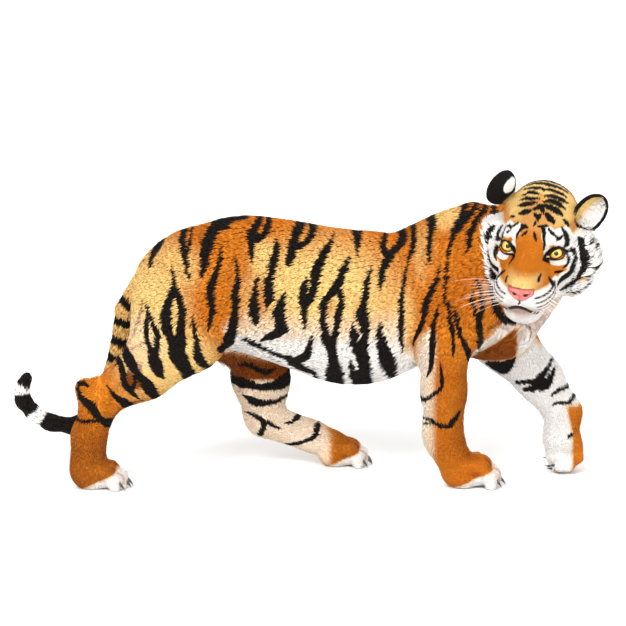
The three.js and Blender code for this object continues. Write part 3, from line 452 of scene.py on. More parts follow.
# A stripe is a run of (x, z, half width), seen from the side. Both flanks carry the same ones.
flankStripes = [
    # tail root and rump
    [(-488, 842, 8), (-502, 808, 9), (-528, 775, 9), (-530, 750, 7)],
    [(-372, 900, 4), (-405, 888, 12), (-420, 862, 12), (-421, 835, 12), (-414, 800, 9),
     (-406, 765, 8), (-400, 735, 5), (-397, 708, 1)],
    [(-398, 875, 4), (-391, 850, 4), (-396, 820, 4), (-404, 785, 4)],
    [(-270, 895, 14), (-305, 880, 16), (-325, 855, 18), (-338, 820, 18), (-342, 790, 16),
     (-345, 760, 12), (-350, 735, 7), (-352, 712, 1)],
    [(-306, 868, 8), (-285, 873, 6), (-262, 874, 2)],
    [(-300, 895, 12), (-245, 900, 8), (-205, 902, 4)],
    [(-287, 822, 1), (-292, 785, 5), (-300, 745, 8), (-312, 715, 10), (-322, 690, 12),
     (-325, 660, 13), (-322, 635, 12), (-318, 610, 9), (-326, 585, 9), (-332, 560, 6),
     (-338, 536, 1)],
    # thigh
    [(-459, 760, 1), (-451, 730, 4), (-445, 697, 8), (-452, 668, 9), (-468, 620, 15),
     (-474, 585, 18), (-474, 555, 17), (-466, 525, 15), (-458, 500, 16)],
    [(-445, 697, 6), (-436, 665, 10), (-425, 630, 13), (-419, 600, 13), (-424, 560, 12),
     (-428, 530, 14), (-430, 500, 18)],
    [(-444, 505, 28), (-442, 465, 28), (-425, 430, 24), (-412, 405, 20), (-402, 372, 22)],
    [(-386, 590, 3), (-383, 560, 6), (-380, 520, 6), (-378, 490, 10), (-372, 455, 16),
     (-360, 430, 14), (-346, 410, 12)],
    [(-539, 622, 2), (-537, 600, 4), (-541, 560, 7), (-546, 520, 8), (-540, 495, 7), (-530, 470, 8),
     (-525, 445, 14)],
    [(-539, 622, 2), (-532, 600, 3), (-520, 565, 7), (-508, 530, 10), (-510, 490, 9),
     (-514, 460, 10), (-516, 440, 20), (-508, 420, 20), (-500, 400, 13), (-492, 388, 6),
     (-486, 376, 1)],
    [(-623, 478, 9), (-605, 450, 18), (-590, 425, 16), (-575, 402, 10), (-558, 384, 12),
     (-543, 362, 19), (-530, 338, 19), (-520, 316, 14)],
    [(-650, 447, 8), (-632, 430, 10), (-622, 400, 10), (-620, 372, 10), (-605, 347, 10),
     (-590, 330, 8), (-572, 308, 2)],
    [(-585, 425, 12), (-580, 400, 7), (-582, 370, 6), (-590, 348, 6)],
    [(-676, 357, 1), (-660, 332, 5), (-642, 313, 9), (-622, 298, 14), (-606, 276, 17)],
    # hock
    [(-772, 356, 6), (-755, 359, 7), (-740, 352, 4)],
    [(-774, 340, 6), (-766, 312, 9), (-745, 298, 14), (-728, 288, 17), (-716, 266, 13),
     (-698, 243, 9), (-678, 224, 13), (-662, 214, 10)],
    [(-790, 242, 7), (-765, 234, 5), (-735, 237, 5), (-705, 238, 6), (-668, 236, 6)],
    # flank
    [(-158, 902, 9), (-172, 882, 11), (-187, 858, 14), (-190, 835, 13), (-188, 800, 9),
     (-187, 775, 5), (-186, 762, 1)],
    [(-132, 900, 10), (-135, 875, 11), (-150, 852, 10), (-174, 838, 10)],
    [(-244, 791, 1), (-239, 760, 3), (-236, 735, 4), (-232, 708, 8), (-238, 685, 10),
     (-244, 655, 11), (-243, 630, 13), (-245, 600, 12), (-249, 565, 15), (-258, 530, 18),
     (-270, 500, 20), (-290, 472, 18)],
    [(-108, 840, 2), (-106, 822, 7), (-110, 795, 11), (-115, 770, 14), (-122, 745, 11),
     (-125, 725, 9), (-133, 705, 15), (-132, 680, 17), (-130, 655, 15), (-137, 632, 8),
     (-143, 610, 1)],
    [(-164, 724, 1), (-172, 705, 5), (-176, 680, 6), (-180, 655, 10), (-180, 630, 17),
     (-181, 605, 18), (-178, 580, 11), (-177, 553, 1)],
    [(-80, 672, 1), (-86, 650, 8), (-94, 625, 15), (-100, 600, 20), (-92, 570, 18), (-88, 550, 20),
     (-105, 530, 16), (-130, 518, 12), (-160, 503, 3)],
    [(-22, 888, 16), (-38, 860, 15), (-48, 835, 14), (-52, 810, 16), (-60, 785, 14), (-66, 765, 8),
     (-70, 755, 2)],
    [(-22, 893, 10), (12, 890, 10)],
    [(8, 885, 12), (15, 865, 12), (8, 845, 9), (-8, 830, 8), (-30, 818, 10)],
    [(85, 852, 1), (72, 825, 6), (52, 800, 12), (38, 770, 15), (25, 745, 17), (18, 720, 15),
     (18, 690, 12), (12, 665, 14), (-4, 645, 14)],
    [(-5, 722, 1), (-12, 700, 8), (-18, 680, 12), (-20, 655, 14), (-16, 630, 14), (-14, 600, 10),
     (-14, 570, 5), (-13, 548, 1)],
    [(134, 786, 1), (126, 765, 7), (112, 740, 12), (103, 715, 11), (90, 690, 13), (70, 668, 12),
     (54, 648, 12), (47, 620, 12), (46, 590, 11), (48, 560, 11), (54, 535, 12), (60, 515, 16),
     (70, 495, 18)],
    [(98, 690, 8), (105, 655, 10), (106, 630, 11), (99, 600, 11), (94, 570, 10), (88, 545, 9),
     (82, 520, 12), (74, 495, 16)],
    [(72, 500, 18), (75, 470, 16), (80, 440, 17), (85, 410, 24), (88, 380, 30), (90, 330, 34)],
    [(10, 530, 1), (4, 505, 5), (0, 480, 9), (-8, 455, 15), (-28, 438, 16), (-60, 425, 14),
     (-40, 410, 16), (-10, 396, 14), (20, 385, 8), (30, 330, 10)],
    [(-216, 503, 6), (-190, 490, 9), (-160, 475, 7), (-130, 462, 6), (-100, 448, 7),
     (-60, 436, 12)],
    [(165, 874, 36), (163, 845, 14), (162, 815, 7), (161, 788, 1)],
    [(207, 758, 1), (200, 735, 5), (193, 710, 7), (188, 680, 9), (183, 645, 11), (178, 620, 14),
     (174, 602, 20), (184, 575, 15), (184, 545, 15), (183, 520, 12), (172, 490, 22), (174, 460, 22),
     (182, 430, 20), (185, 400, 24), (185, 370, 28), (188, 325, 30)],
    [(142, 576, 1), (146, 555, 8), (148, 530, 12), (152, 505, 16), (164, 480, 20)],
    [(138, 440, 2), (141, 418, 8), (148, 392, 11), (158, 362, 14), (165, 325, 14)],
    [(238, 576, 1), (234, 552, 6), (235, 530, 12), (240, 508, 15), (246, 480, 19), (253, 455, 24),
     (264, 430, 26), (273, 405, 22), (285, 375, 16)],
    [(321, 742, 1), (315, 710, 4), (309, 680, 5), (306, 650, 8), (306, 610, 9), (304, 570, 10),
     (305, 535, 9), (308, 495, 5), (309, 468, 1)],
    [(352, 872, 8), (350, 845, 7), (348, 820, 7), (343, 800, 6), (333, 780, 4), (326, 760, 3),
     (321, 742, 2)],
    [(264, 862, 6), (256, 840, 7), (248, 815, 9), (252, 795, 10), (270, 785, 12)],
    [(308, 870, 16), (315, 850, 14), (312, 828, 12), (295, 810, 10), (276, 795, 12)],
    [(267, 784, 14), (256, 765, 13), (244, 745, 11), (239, 715, 9), (234, 675, 1)],
    [(425, 914, 8), (412, 895, 12), (407, 870, 11), (402, 845, 8), (399, 815, 8), (398, 790, 5),
     (397, 763, 1)],
    # shoulder and near foreleg
    [(432, 758, 1), (427, 730, 4), (420, 705, 7), (408, 680, 10), (396, 655, 10), (387, 630, 11),
     (381, 600, 9), (377, 580, 8), (372, 560, 8), (359, 535, 6), (350, 512, 4), (345, 494, 1)],
    [(427, 625, 1), (422, 600, 5), (416, 575, 7), (410, 545, 9), (407, 505, 9), (404, 465, 8),
     (402, 430, 6), (396, 405, 4), (388, 388, 1)],
    [(543, 958, 8), (516, 924, 8), (497, 890, 8), (484, 866, 9), (474, 840, 6)],
    [(572, 952, 8), (548, 928, 9), (520, 900, 9), (492, 868, 9)],
    [(474, 840, 6), (463, 812, 5), (459, 780, 4), (458, 750, 4), (454, 715, 4), (449, 680, 4),
     (453, 648, 5), (462, 615, 6), (467, 575, 7), (474, 535, 5), (475, 495, 5), (474, 455, 1)],
    [(592, 934, 7), (570, 915, 8), (549, 886, 9), (536, 860, 8), (530, 832, 8), (522, 802, 1)],
    [(475, 630, 1), (485, 602, 5), (489, 575, 6), (496, 535, 6), (511, 505, 8), (525, 475, 10),
     (530, 450, 8), (532, 433, 3)],
    [(552, 724, 2), (562, 690, 5), (571, 655, 6), (575, 628, 6), (564, 595, 9)],
    [(540, 682, 1), (540, 645, 6), (546, 617, 7), (557, 590, 9), (558, 560, 9), (562, 530, 8),
     (566, 495, 7), (566, 470, 4)],
    [(431, 442, 1), (434, 415, 3), (437, 385, 5), (438, 362, 5), (428, 345, 5), (410, 330, 4),
     (398, 318, 5), (380, 308, 8), (362, 304, 9)],
    [(502, 272, 3), (490, 256, 7), (478, 240, 9), (468, 226, 9)],
    [(366, 240, 3), (405, 240, 3), (420, 228, 4), (442, 221, 6), (468, 221, 7)],
    [(380, 224, 2), (400, 226, 2), (418, 230, 3)],
    # nape
    [(628, 962, 8), (620, 930, 9), (604, 890, 10), (596, 850, 8), (592, 815, 1)],
    [(684, 1010, 8), (672, 960, 8), (664, 925, 10), (650, 885, 10), (644, 845, 7), (640, 800, 1)],
    [(726, 1010, 8), (716, 960, 8), (708, 925, 9), (694, 880, 10), (690, 840, 6), (684, 790, 1)],
    [(768, 1010, 8), (760, 950, 8), (752, 905, 9), (742, 860, 8), (738, 825, 2)],
    [(808, 1010, 8), (800, 960, 9), (794, 910, 9), (790, 860, 8), (788, 820, 2)],
    # behind the crown
    [(684, 1008, 5), (718, 1030, 8), (750, 1040, 10), (776, 1043, 11), (802, 1038, 10),
     (842, 1014, 6)],
    # the front of the neck, as bands from side to side
    [(690, 742, 1), (760, 712, 8), (820, 690, 11), (930, 660, 9)],
    [(720, 790, 1), (790, 764, 8), (850, 742, 11), (950, 712, 9)],
    [(760, 832, 1), (820, 812, 9), (880, 790, 11), (980, 760, 9)],
    [(815, 872, 3), (860, 858, 10), (980, 812, 10)],
    # throat
    [(590, 718, 5), (598, 695, 11), (605, 670, 9), (610, 645, 9), (622, 610, 13), (640, 588, 15),
     (660, 570, 13), (682, 562, 8)],
]
# The left legs are in another stride, so below the shoulder and the thigh they have their own.
foreLeftStripes = [
    [(612, 384, 8), (640, 376, 20), (665, 368, 24), (682, 386, 16), (696, 415, 10), (706, 432, 5)],
    [(716, 316, 7), (745, 322, 6), (768, 325, 7), (788, 340, 10), (806, 355, 8), (841, 402, 2)],
    [(742, 292, 8), (765, 300, 13), (786, 312, 13), (796, 326, 13)],
    [(790, 290, 1), (808, 305, 10), (818, 322, 14), (827, 341, 10), (846, 372, 1)],
    [(828, 272, 1), (842, 285, 4), (865, 298, 5), (885, 300, 6), (920, 315, 7)],
    [(834, 240, 1), (850, 252, 4), (875, 252, 4), (893, 253, 5), (920, 275, 5)],
    [(892, 138, 5), (902, 142, 5)],
    [(640, 470, 6), (690, 480, 10), (730, 470, 6), (770, 480, 1)],
]
hindLeftStripes = [
    [(-255, 375, 2), (-225, 380, 8), (-200, 372, 8), (-180, 360, 8), (-150, 350, 9),
     (-118, 366, 1)],
    [(-290, 325, 14), (-240, 312, 20), (-200, 305, 14), (-175, 296, 10), (-140, 300, 14),
     (-110, 305, 20), (-88, 315, 24), (-70, 340, 12)],
    [(-235, 264, 2), (-205, 250, 12), (-185, 238, 14), (-150, 240, 9), (-120, 242, 8),
     (-70, 262, 4)],
    [(-228, 200, 2), (-200, 195, 6), (-180, 185, 8), (-163, 170, 8), (-161, 150, 8),
     (-176, 122, 9)],
    [(-160, 168, 6), (-145, 168, 6), (-130, 157, 6), (-112, 146, 3), (-98, 141, 1)],
    [(-92, 160, 1), (-65, 165, 4), (-45, 178, 8), (-30, 192, 8)],
    [(24, 145, 11), (20, 122, 8), (5, 108, 6), (-20, 98, 5), (-45, 88, 6), (-90, 76, 6)],
    [(-290, 440, 10), (-250, 450, 16), (-205, 438, 12), (-170, 452, 8), (-130, 440, 1)],
]
# The tail's dark rings: how far from its root each starts and ends.
tailRings = [
    (62, 92), (128, 158), (196, 226), (262, 296), (330, 366), (400, 436), (470, 690), (735, 812),
    (842, 1100),
]

# The face's own stripes are (degrees to the left, degrees up, half width), from inside the head.
faceMiddle = (-20, 0, 10)
faceStripes = [
    # crown, forehead and brow
    [(1, 56, 1.5), (1, 52, 4), (-1, 48, 1)],
    [(-5, 64, 4), (0, 62, 6), (6, 61.5, 7), (9, 64, 4)],
    [(3, 61, 6), (5, 57, 3), (6, 54, 1)],
    [(-12, 70, 5), (-4, 72, 6), (5, 75, 6), (12, 73, 7), (16, 69, 6), (18, 66, 3)],
    [(-24, 66, 6), (-34, 62, 9), (-46, 57, 4)],
    [(27, 64, 6), (33, 59, 10), (38, 55, 7), (39, 51, 1)],
    [(-66, 61, 2), (-58, 66, 6), (-46, 71, 7), (-28, 76, 5), (-10, 78, 1)],
    [(12, 76, 2), (32, 74, 7), (48, 70, 8), (58, 65, 9), (64, 60, 7), (66, 56, 2)],
    [(-78, 65, 2), (-72, 72, 6), (-58, 77, 6), (-30, 82, 4), (0, 82, 1)],
    [(18, 80, 2), (58, 78, 7), (72, 73, 8), (78, 67, 8), (82, 60, 3)],
    [(-94, 68, 2), (-97, 75, 6), (-94, 81, 6), (-70, 86, 4)],
    [(50, 86, 3), (88, 80, 6), (94, 74, 7), (97, 67, 7), (99, 60, 3)],
    [(-114, 66, 2), (-120, 73, 6), (-132, 80, 6), (170, 85, 5), (140, 81, 6), (124, 76, 7),
     (117, 69, 7), (113, 62, 2)],
    [(-132, 58, 3), (-140, 66, 9), (-165, 73, 10), (165, 74, 10), (143, 68, 10), (132, 58, 5)],
    [(7, 49, 2), (13, 49, 4), (17, 46, 5), (18, 41, 4), (17, 35, 3), (18, 28, 3), (17, 21, 1.5)],
    [(14, 49, 3), (22, 50, 4), (27, 49, 1)],
    [(-24, 46, 3), (-17, 46, 6), (-10, 45, 2)],
    [(-19, 45, 6), (-21, 40, 4), (-22, 34, 3), (-21, 28, 1)],
    [(-9, 41, 1), (-11, 38, 3.5), (-15, 34, 1)],
    [(2, 41, 1), (4, 37, 3.5), (7, 31, 1)],
    [(26, 46, 2), (30, 41, 4), (34, 37, 3), (38, 34, 3), (36, 30, 1)],
    [(36, 31, 1), (42, 32, 4), (48, 34, 2)],
    [(-33, 47, 3), (-38, 41, 3), (-42, 37, 3), (-50, 37, 3), (-57, 33, 2)],
    [(-40, 38, 2), (-38, 34, 2), (-42, 30, 3)],
    [(54, 44, 3), (55, 38, 5), (54, 30, 5), (52, 24, 4), (48, 20, 3)],
    [(62, 54, 1), (66, 49, 4), (70, 44, 5), (72, 40, 1)],
    [(-64, 44, 1), (-58, 48, 4), (-50, 51, 1)],
    # rims of the eyes
    [(17, 11, 3), (20, 14, 4), (25, 18.5, 3.5), (31, 21.5, 3.5), (37, 21.5, 4), (43, 18.5, 4.5),
     (47, 15, 4), (50, 13, 1.5)],
    [(18, 11, 4), (21, 8, 4), (24, 5, 1)],
    [(20, 9, 3), (26, 9.5, 2), (33, 8.5, 1.5), (39, 9.5, 2), (44, 13, 3)],
    [(47, 12, 2), (47, 6, 3), (43, 2, 2), (38, 0, 1)],
    [(-17, 10, 3), (-21, 12.5, 4), (-26, 17.5, 3.5), (-32, 20.5, 3.5), (-38, 19.5, 4),
     (-42, 16.5, 3.5), (-47, 17, 2), (-54, 22, 2)],
    [(-17, 9, 4), (-18, 5.5, 2.5), (-19, 2, 1)],
    [(-19, 8, 3), (-25, 7.5, 2), (-31, 6, 1.5), (-37, 8, 2), (-41, 12, 3)],
    [(-43, 12, 2), (-44, 7, 2.5), (-40, 2, 2)],
    # cheeks
    [(60, 37, 3), (62, 31, 5), (59, 25, 5), (53, 20, 4)],
    [(76, 20, 3), (78, 17, 8), (74, 12, 9), (71, 5, 11), (71, -2, 14), (69, -9, 12), (66, -15, 9),
     (60, -20, 9), (53, -24, 9), (46, -27, 8), (40, -31, 4)],
    [(54, 15, 2), (58, 11, 7), (58, 5, 8), (54, 1, 9), (50, -3, 10), (48, -7, 10), (44, -10, 10),
     (39, -12, 10), (34, -15, 9), (31, -20, 6), (30, -24, 2)],
    [(28, -3, 1), (33, -4, 3), (38, -3, 1)],
    [(88, 12, 3), (84, 9, 4)],
    [(92, 4, 3), (86, 2, 4)],
    [(92, -5, 3), (86, -6, 4)],
    [(88, -14, 5), (80, -17, 5), (76, -22, 5), (70, -25, 2)],
    [(80, -30, 4), (68, -33, 4), (58, -36, 4), (48, -36, 2)],
    [(-80, 17, 2), (-79, 11, 6), (-75, 5, 6), (-70, -1, 2)],
    [(-63, -8, 4), (-57, -12, 8), (-49, -15, 9), (-39, -14, 8), (-32, -12, 6), (-27, -14, 2)],
    [(-73, 25, 2), (-69, 20, 5), (-63, 16, 5), (-56, 14, 6), (-50, 15, 3)],
    [(-62, 30, 3), (-56, 27, 4), (-52, 22, 3)],
    [(-50, -22, 4), (-46, -27, 8), (-38, -33, 9), (-30, -40, 8), (-20, -50, 7)],
    [(-47, 8, 3), (-44, 2, 4), (-38, -3, 2)],
    [(-92, 0, 3), (-84, -4, 4), (-78, -8, 2)],
    [(-90, -14, 3), (-80, -18, 6), (-70, -22, 5)],
    # muzzle
    [(-13, -2, 2.5), (-12.5, -3, 2.5)],
    [(13.5, 0.8, 2), (12, -0.5, 3)],
    [(21, -3, 1), (24, -7, 3), (27, -10, 1)],
    [(-19, -2, 1), (-22, -5, 2.5), (-24, -9, 1)],
]
whiskerRows = dict(ups=(-9.5, -12.5, -15.5, -18.5), inner=10, outer=27, thick=1.5)

paleFacePatches = [  # degrees to the left, degrees up, and the half sizes
    (26, 37, 12, 12),
    (44, 33, 16, 12),
    (60, 32, 14, 12),
    (-28, 37, 9, 11),
    (-48, 33, 18, 11),
    (21, 20, 4, 11),
    (-25, 18, 4, 10),
    (34, 5, 9, 3),
    (-33, 4, 7, 4),
    (66, 4, 24, 26),
    (44, -16, 16, 12),
    (-70, 4, 26, 26),
    (-46, -14, 18, 14),
    (15, -15, 14, 10),
    (-15, -15, 14, 10),
    (0, -16, 16, 5),
    (24, -10, 8, 5),
    (-24, -10, 8, 5),
    (0, -32, 40, 13),
]


def toStrokes(strokes, points, far=60):  # the least distance to strokes, below zero inside them
    least2 = np.full(len(points), far, float)
    for stroke in strokes:
        s = np.array(stroke, float)
        lo, hi = s[:, :-1].min(0) - far / 2, s[:, :-1].max(0) + far / 2
        near = np.flatnonzero(((points > lo) & (points < hi)).all(1))
        if not len(near):
            continue
        p = points[near]
        best = least2[near]
        for a, b in zip(s, s[1:]):
            d = b[:-1] - a[:-1]
            t = np.clip((p - a[:-1]) @ d / max(d @ d, 1e-9), 0, 1)
            away = np.linalg.norm(p - a[:-1] - t[:, None] * d, axis=1) - a[-1] - t * (b[-1] - a[-1])
            best = np.minimum(best, away)
        least2[near] = best
    return least2


def onFace(left, up):  # the head's surface seen from its middle, at two angles in degrees
    a, b = np.radians(left), np.radians(up)
    ray = np.stack([np.cos(b) * np.cos(a), np.cos(b) * np.sin(a), np.sin(b)], -1)
    steps = np.arange(70, 270, 2.0)
    p = np.array(faceMiddle) + ray[..., None, :] * steps[:, None]
    inside = fieldAt(skull, p[..., 0], p[..., 1], p[..., 2]) < 0
    last = len(steps) - 1 - np.argmax(inside[..., ::-1], axis=-1)
    return np.array(faceMiddle) + ray * steps[last][..., None]


def faceAngles(x, y, z):
    dx, dy, dz = x - faceMiddle[0], y - faceMiddle[1], z - faceMiddle[2]
    return np.degrees(np.arctan2(dy, dx)), np.degrees(np.arctan2(dz, np.hypot(dx, dy)))


def overFace(stroke, between=3):  # a face stroke as points of the head, close together
    s = np.array(stroke, float)
    turn = np.unwrap(s[:, 0], period=360)
    k = np.linspace(0, len(s) - 1, (len(s) - 1) * between + 1)
    left, up, wide = (np.interp(k, np.arange(len(s)), v) for v in (turn, s[:, 1], s[:, 2]))
    return np.concatenate([onFace(left, up), wide[:, None]], 1)


def inward(stroke):  # the same stroke as ways from the head's middle, for points at any depth
    away = stroke[:, :3] - faceMiddle
    reach = np.linalg.norm(away, axis=1)[:, None]
    return np.concatenate([away, stroke[:, 3:]], 1) / reach


def toFaceStrokes(strokes, points, far=0.15):
    away = points - faceMiddle
    reach = np.linalg.norm(away, axis=1)
    return toStrokes(strokes, away / reach[:, None], far) * reach


faceStrokes = [inward(overFace(s)) for s in faceStripes]
for i, up in enumerate(whiskerRows["ups"]):
    for side in sides:
        inner, outer = side * (whiskerRows["inner"] + i), side * whiskerRows["outer"]
        thick, middle = whiskerRows["thick"], (inner + outer) / 2
        row = [(inner, up, 0.8), (middle, up + 1.2, thick), (outer, up + 1, thick)]
        faceStrokes.append(inward(overFace(row)))
mouthLine = [
    (0, -17.5, 6.2), (4, -19, 6), (7.5, -22.5, 4.6), (12, -25.5, 4), (19, -26.5, 3.6), (27, -25, 2)
]
lipDepth = 3.5
mouth = [overFace([(side * left, up, wide) for left, up, wide in mouthLine]) for side in sides]
philtrum = [overFace([(0, -11, 1.8), (0, -17, 2.6)])]
lips = [inward(s) for s in mouth + philtrum]
faceStrokes += lips
faceDetail += [
    hollow(bone(a[:3] - (lipDepth, 0, 0), b[:3] - (lipDepth, 0, 0), a[3] * 0.9, b[3] * 0.9, blend=4))
    for s in mouth + philtrum
    for a, b in zip(s, s[1:])
]
tailPath = np.array(tailLine, float)[:, :3]
tailSteps = np.linalg.norm(np.diff(tailPath, axis=0), axis=1)


def alongTail(points):  # the length from the tail's root, and the way the tail runs there
    best = np.full(len(points), 1e9)
    length = np.zeros(len(points))
    way = np.zeros((len(points), 3))
    start = 0
    for a, b, step in zip(tailPath, tailPath[1:], tailSteps):
        d = (b - a) / step
        t = np.clip((points - a) @ d, 0, step)
        away = np.linalg.norm(points - a - t[:, None] * d, axis=1)
        nearer = away < best
        best[nearer] = away[nearer]
        length[nearer] = start + t[nearer]
        way[nearer] = d
        start += step
    return length, way


def tailMiddle(length):  # the point of the tail's own line at each length
    reach = np.append(0, np.cumsum(tailSteps))
    return np.stack([np.interp(length, reach, tailPath[:, i]) for i in range(3)], 1)


def patch(x, z, cx, cz, rx, rz, edge=0.35):  # 1 inside an ellipse, soft at its edge
    return smooth(1 + edge, 1 - edge, np.hypot((x - cx) / rx, (z - cz) / rz))


goldPatches = [  # x, z, half sizes and strength of the lighter gold
    (40, 660, 240, 165, 1.0),
    (-150, 780, 60, 60, 0.9),
    (-530, 560, 130, 240, 1.0),
    (-440, 430, 130, 130, 1.0),
    (-460, 745, 110, 80, 0.7),
    (300, 590, 50, 110, 0.7),
    (385, 785, 40, 90, 0.5),
    (460, 915, 50, 50, 0.9),
]
deepPatches = [  # and of the deeper orange over it
    (-300, 680, 62, 170, 0.9),
    (-225, 820, 44, 100, 0.8),
    (-160, 640, 34, 60, 0.6),
    (-310, 560, 60, 60, 0.5),
    (70, 620, 16, 60, 0.35),
    (160, 600, 20, 60, 0.3),
    (470, 690, 90, 180, 0.9),
    (-720, 320, 50, 60, 0.9),
]


def ownership(x, y, z):  # how far each part of the body has a point, from 0 to 1
    fields = dict(trunk=fieldAt([loft(trunk)] + neck, x, y, z), tail=fieldAt(tail, x, y, z))
    local = toLocal(headFrame, x, y, z)
    fields["head"] = headFrame["scale"] * fieldAt(headAll, *local)
    for name, leg in legs.items():
        fields[name] = fieldAt(leg["all"], x, y, z)
    own = {}
    for k, field in fields.items():
        other = np.min([f for name, f in fields.items() if name != k], axis=0)
        own[k] = 1 / (1 + np.exp(np.clip((field - other) / 9, -30, 30)))
    own["head"] *= smooth(-100, -70, local[0])
    return own, local


def earTraits(hx, hy, hz):  # how far a point is on an ear, in its cup, and on its pale spot
    shape = np.zeros((3, len(hx)))
    off = smooth(0, 4, fieldAt(headMasses, hx, hy, hz))
    for place in ears.values():
        lx, ly, lz = toLocal(place["frame"], hx, hy, hz)
        here = np.maximum(earShape(lx, ly, lz), lx - 5) < 4
        cup = smooth(5.5, 3, earShape(lx, ly, lz, earSize["thick"])) * smooth(-1, -4, lx)
        golden = smooth(-12, 8, place["front"] * ly + 0.15 * lz)  # the cup's side to the crown
        cy, cz = place["spot"]
        spot = smooth(1.25, 0.8, np.hypot((ly - cy) / 22, (lz - cz) / 20))
        own = np.maximum(off, smooth(4, 1, earShape(lx, ly, lz, earSize["thick"])))
        for total, value in zip(shape, (own, cup, np.where(cup > 0.5, golden, spot))):
            total[here] = value[here]
    return shape


def stripeAt(p, own, local, length, shift):  # the distance to stripes, and what is tail and head
    x, y, z = p.T
    flank = toStrokes(flankStripes, np.stack([x - shift, z], 1)) - 1.5
    side = np.stack([x, z], 1)
    for name, strokes, top in (("foreLeft", foreLeftStripes, 450), ("hindLeft", hindLeftStripes, 465)):
        there = own[name] * smooth(top + 20, top - 20, z) > 0.5
        flank[there] = toStrokes(strokes, side[there]) - 1.5
    onTail = (own["tail"] > 0.5) & (length > 40)
    wave = length + 5 * np.sin(3 * np.arctan2(y - 20, x + 700))
    ring = np.full(len(x), 60.0)
    for a, b in tailRings:
        ring = np.minimum(ring, np.abs(wave - (a + b) / 2) - (b - a) / 2)
    flank[onTail] = ring[onTail]
    onHead = own["head"] > 0.5
    face = local[onHead]
    wider = blendTo(1.1, 0.3, smooth(40, 55, faceAngles(*face.T)[1]))
    flank[onHead] = (toFaceStrokes(faceStrokes, face) - wider) * headFrame["scale"]
    return flank, onTail, onHead


def faceTones(face):  # how pale and golden each point of the face is, and its painted shade under the jaw and the lip
    left, up = faceAngles(*face.T)
    side = np.abs(left)
    pale = smooth(-22, -27, up)
    for cl, cu, rl, ru in paleFacePatches:
        pale = np.maximum(pale, patch(left, up, cl, cu, rl, ru, 0.16))
    pale = np.maximum(pale, smooth(60, 80, side) * smooth(34, 22, up))
    crown = smooth(34, 52, up) * (0.45 + 0.5 * smooth(20, 60, side))
    # the gold patch just above the nose pad is a painted highlight
    gold = np.max([crown, 0.3 * smooth(30, 60, side), patch(left, up, 0, -1, 13, 5, 0.6)], axis=0)
    under = 0.8 * smooth(-88, -118, face[:, 2]) * smooth(130, 90, face[:, 0])  # painted shade below the jaw
    # and painted shade on the chin below the middle of the lip
    return pale, gold, np.maximum(under, 0.9 * patch(left, up, 0, -22, 14, 5, 0.5))


def bareSkin(face):  # the lips and the rims of the eyes
    bare = smooth(1.2, -0.6, toFaceStrokes(lips, face))
    for side in sides:
        ahead, out, rise = inEye(side, *face.T)
        corner = np.hypot((out + 25) / 9, (rise + 3 - 0.4 * (out + 25)) / 3.2)
        rim = np.maximum(smooth(4.6, 2.6, lidGap(side, *face.T)), smooth(1.2, 0.8, corner))
        bare = np.where((ahead > 2) & (ahead < 34), np.maximum(bare, rim), bare)
    return bare


def bellyPale(p, n, own, trunkOnly):  # and the pale of the chest and the throat
    x, y, z = p.T
    belly = smooth(680, 410, z) * smooth(-270, -200, x) * smooth(345, 290, x) * (1 - own["hindLeft"])
    thigh = 0.3 * patch(x, z, -560, 500, 90, 110, 0.5)
    under = smooth(-0.1, -0.65, n[:, 2]) * smooth(700, 560, z)
    chest = smooth(0.15, 0.6, n @ (0.8, 0, -0.6)) * smooth(430, 520, x) * smooth(790, 700, z)
    throat = 0.9 * smooth(560, 620, x) * smooth(740, 660, z)
    return np.max([belly, thigh] + [trunkOnly * v for v in (under, chest, throat)], axis=0)


def legPale(p, n, own):  # the inner sides and the toes, and painted shade in the folds between the toes
    x, y, z = p.T
    pale, foldShade = np.zeros((2, len(x)))
    for name, leg in legs.items():
        inside = -n[:, 1] if name.endswith("Left") else n[:, 1]
        inside = smooth(0.1, 0.75, inside) * smooth(640, 520, z)
        if name == "hindLeft":
            inside = inside * smooth(95, 45, x) * 0.6
        lx, ly, lz = toLocal(leg["frame"], x, y, z)
        long, gap = leg["long"], leg["width"] * pawSettings["toeGap"]
        onPaw = own[name] * (np.abs(lx - 40) < 130)
        rise = lz - 0.5 * lx - 0.2 * long  # pale low down, more so to the tips
        toes = np.clip(smooth(long * 0.62, long * 0.84, lx) + smooth(12, -8, rise), 0, 1)
        toes = onPaw * toes * smooth(140, 110, lz)
        pale = np.max([pale, 0.9 * own[name] * inside, 0.9 * toes], axis=0)
        # painted shade in the folds between the toes
        between = np.abs(np.abs(np.abs(ly) - gap / 2) - gap / 2)
        creaseShade = smooth(5.5, 2, between) * smooth(long * 0.45, long * 0.6, lx) * smooth(15, 30, lz)
        foldShade = np.maximum(foldShade, onPaw * creaseShade)
    return pale, foldShade


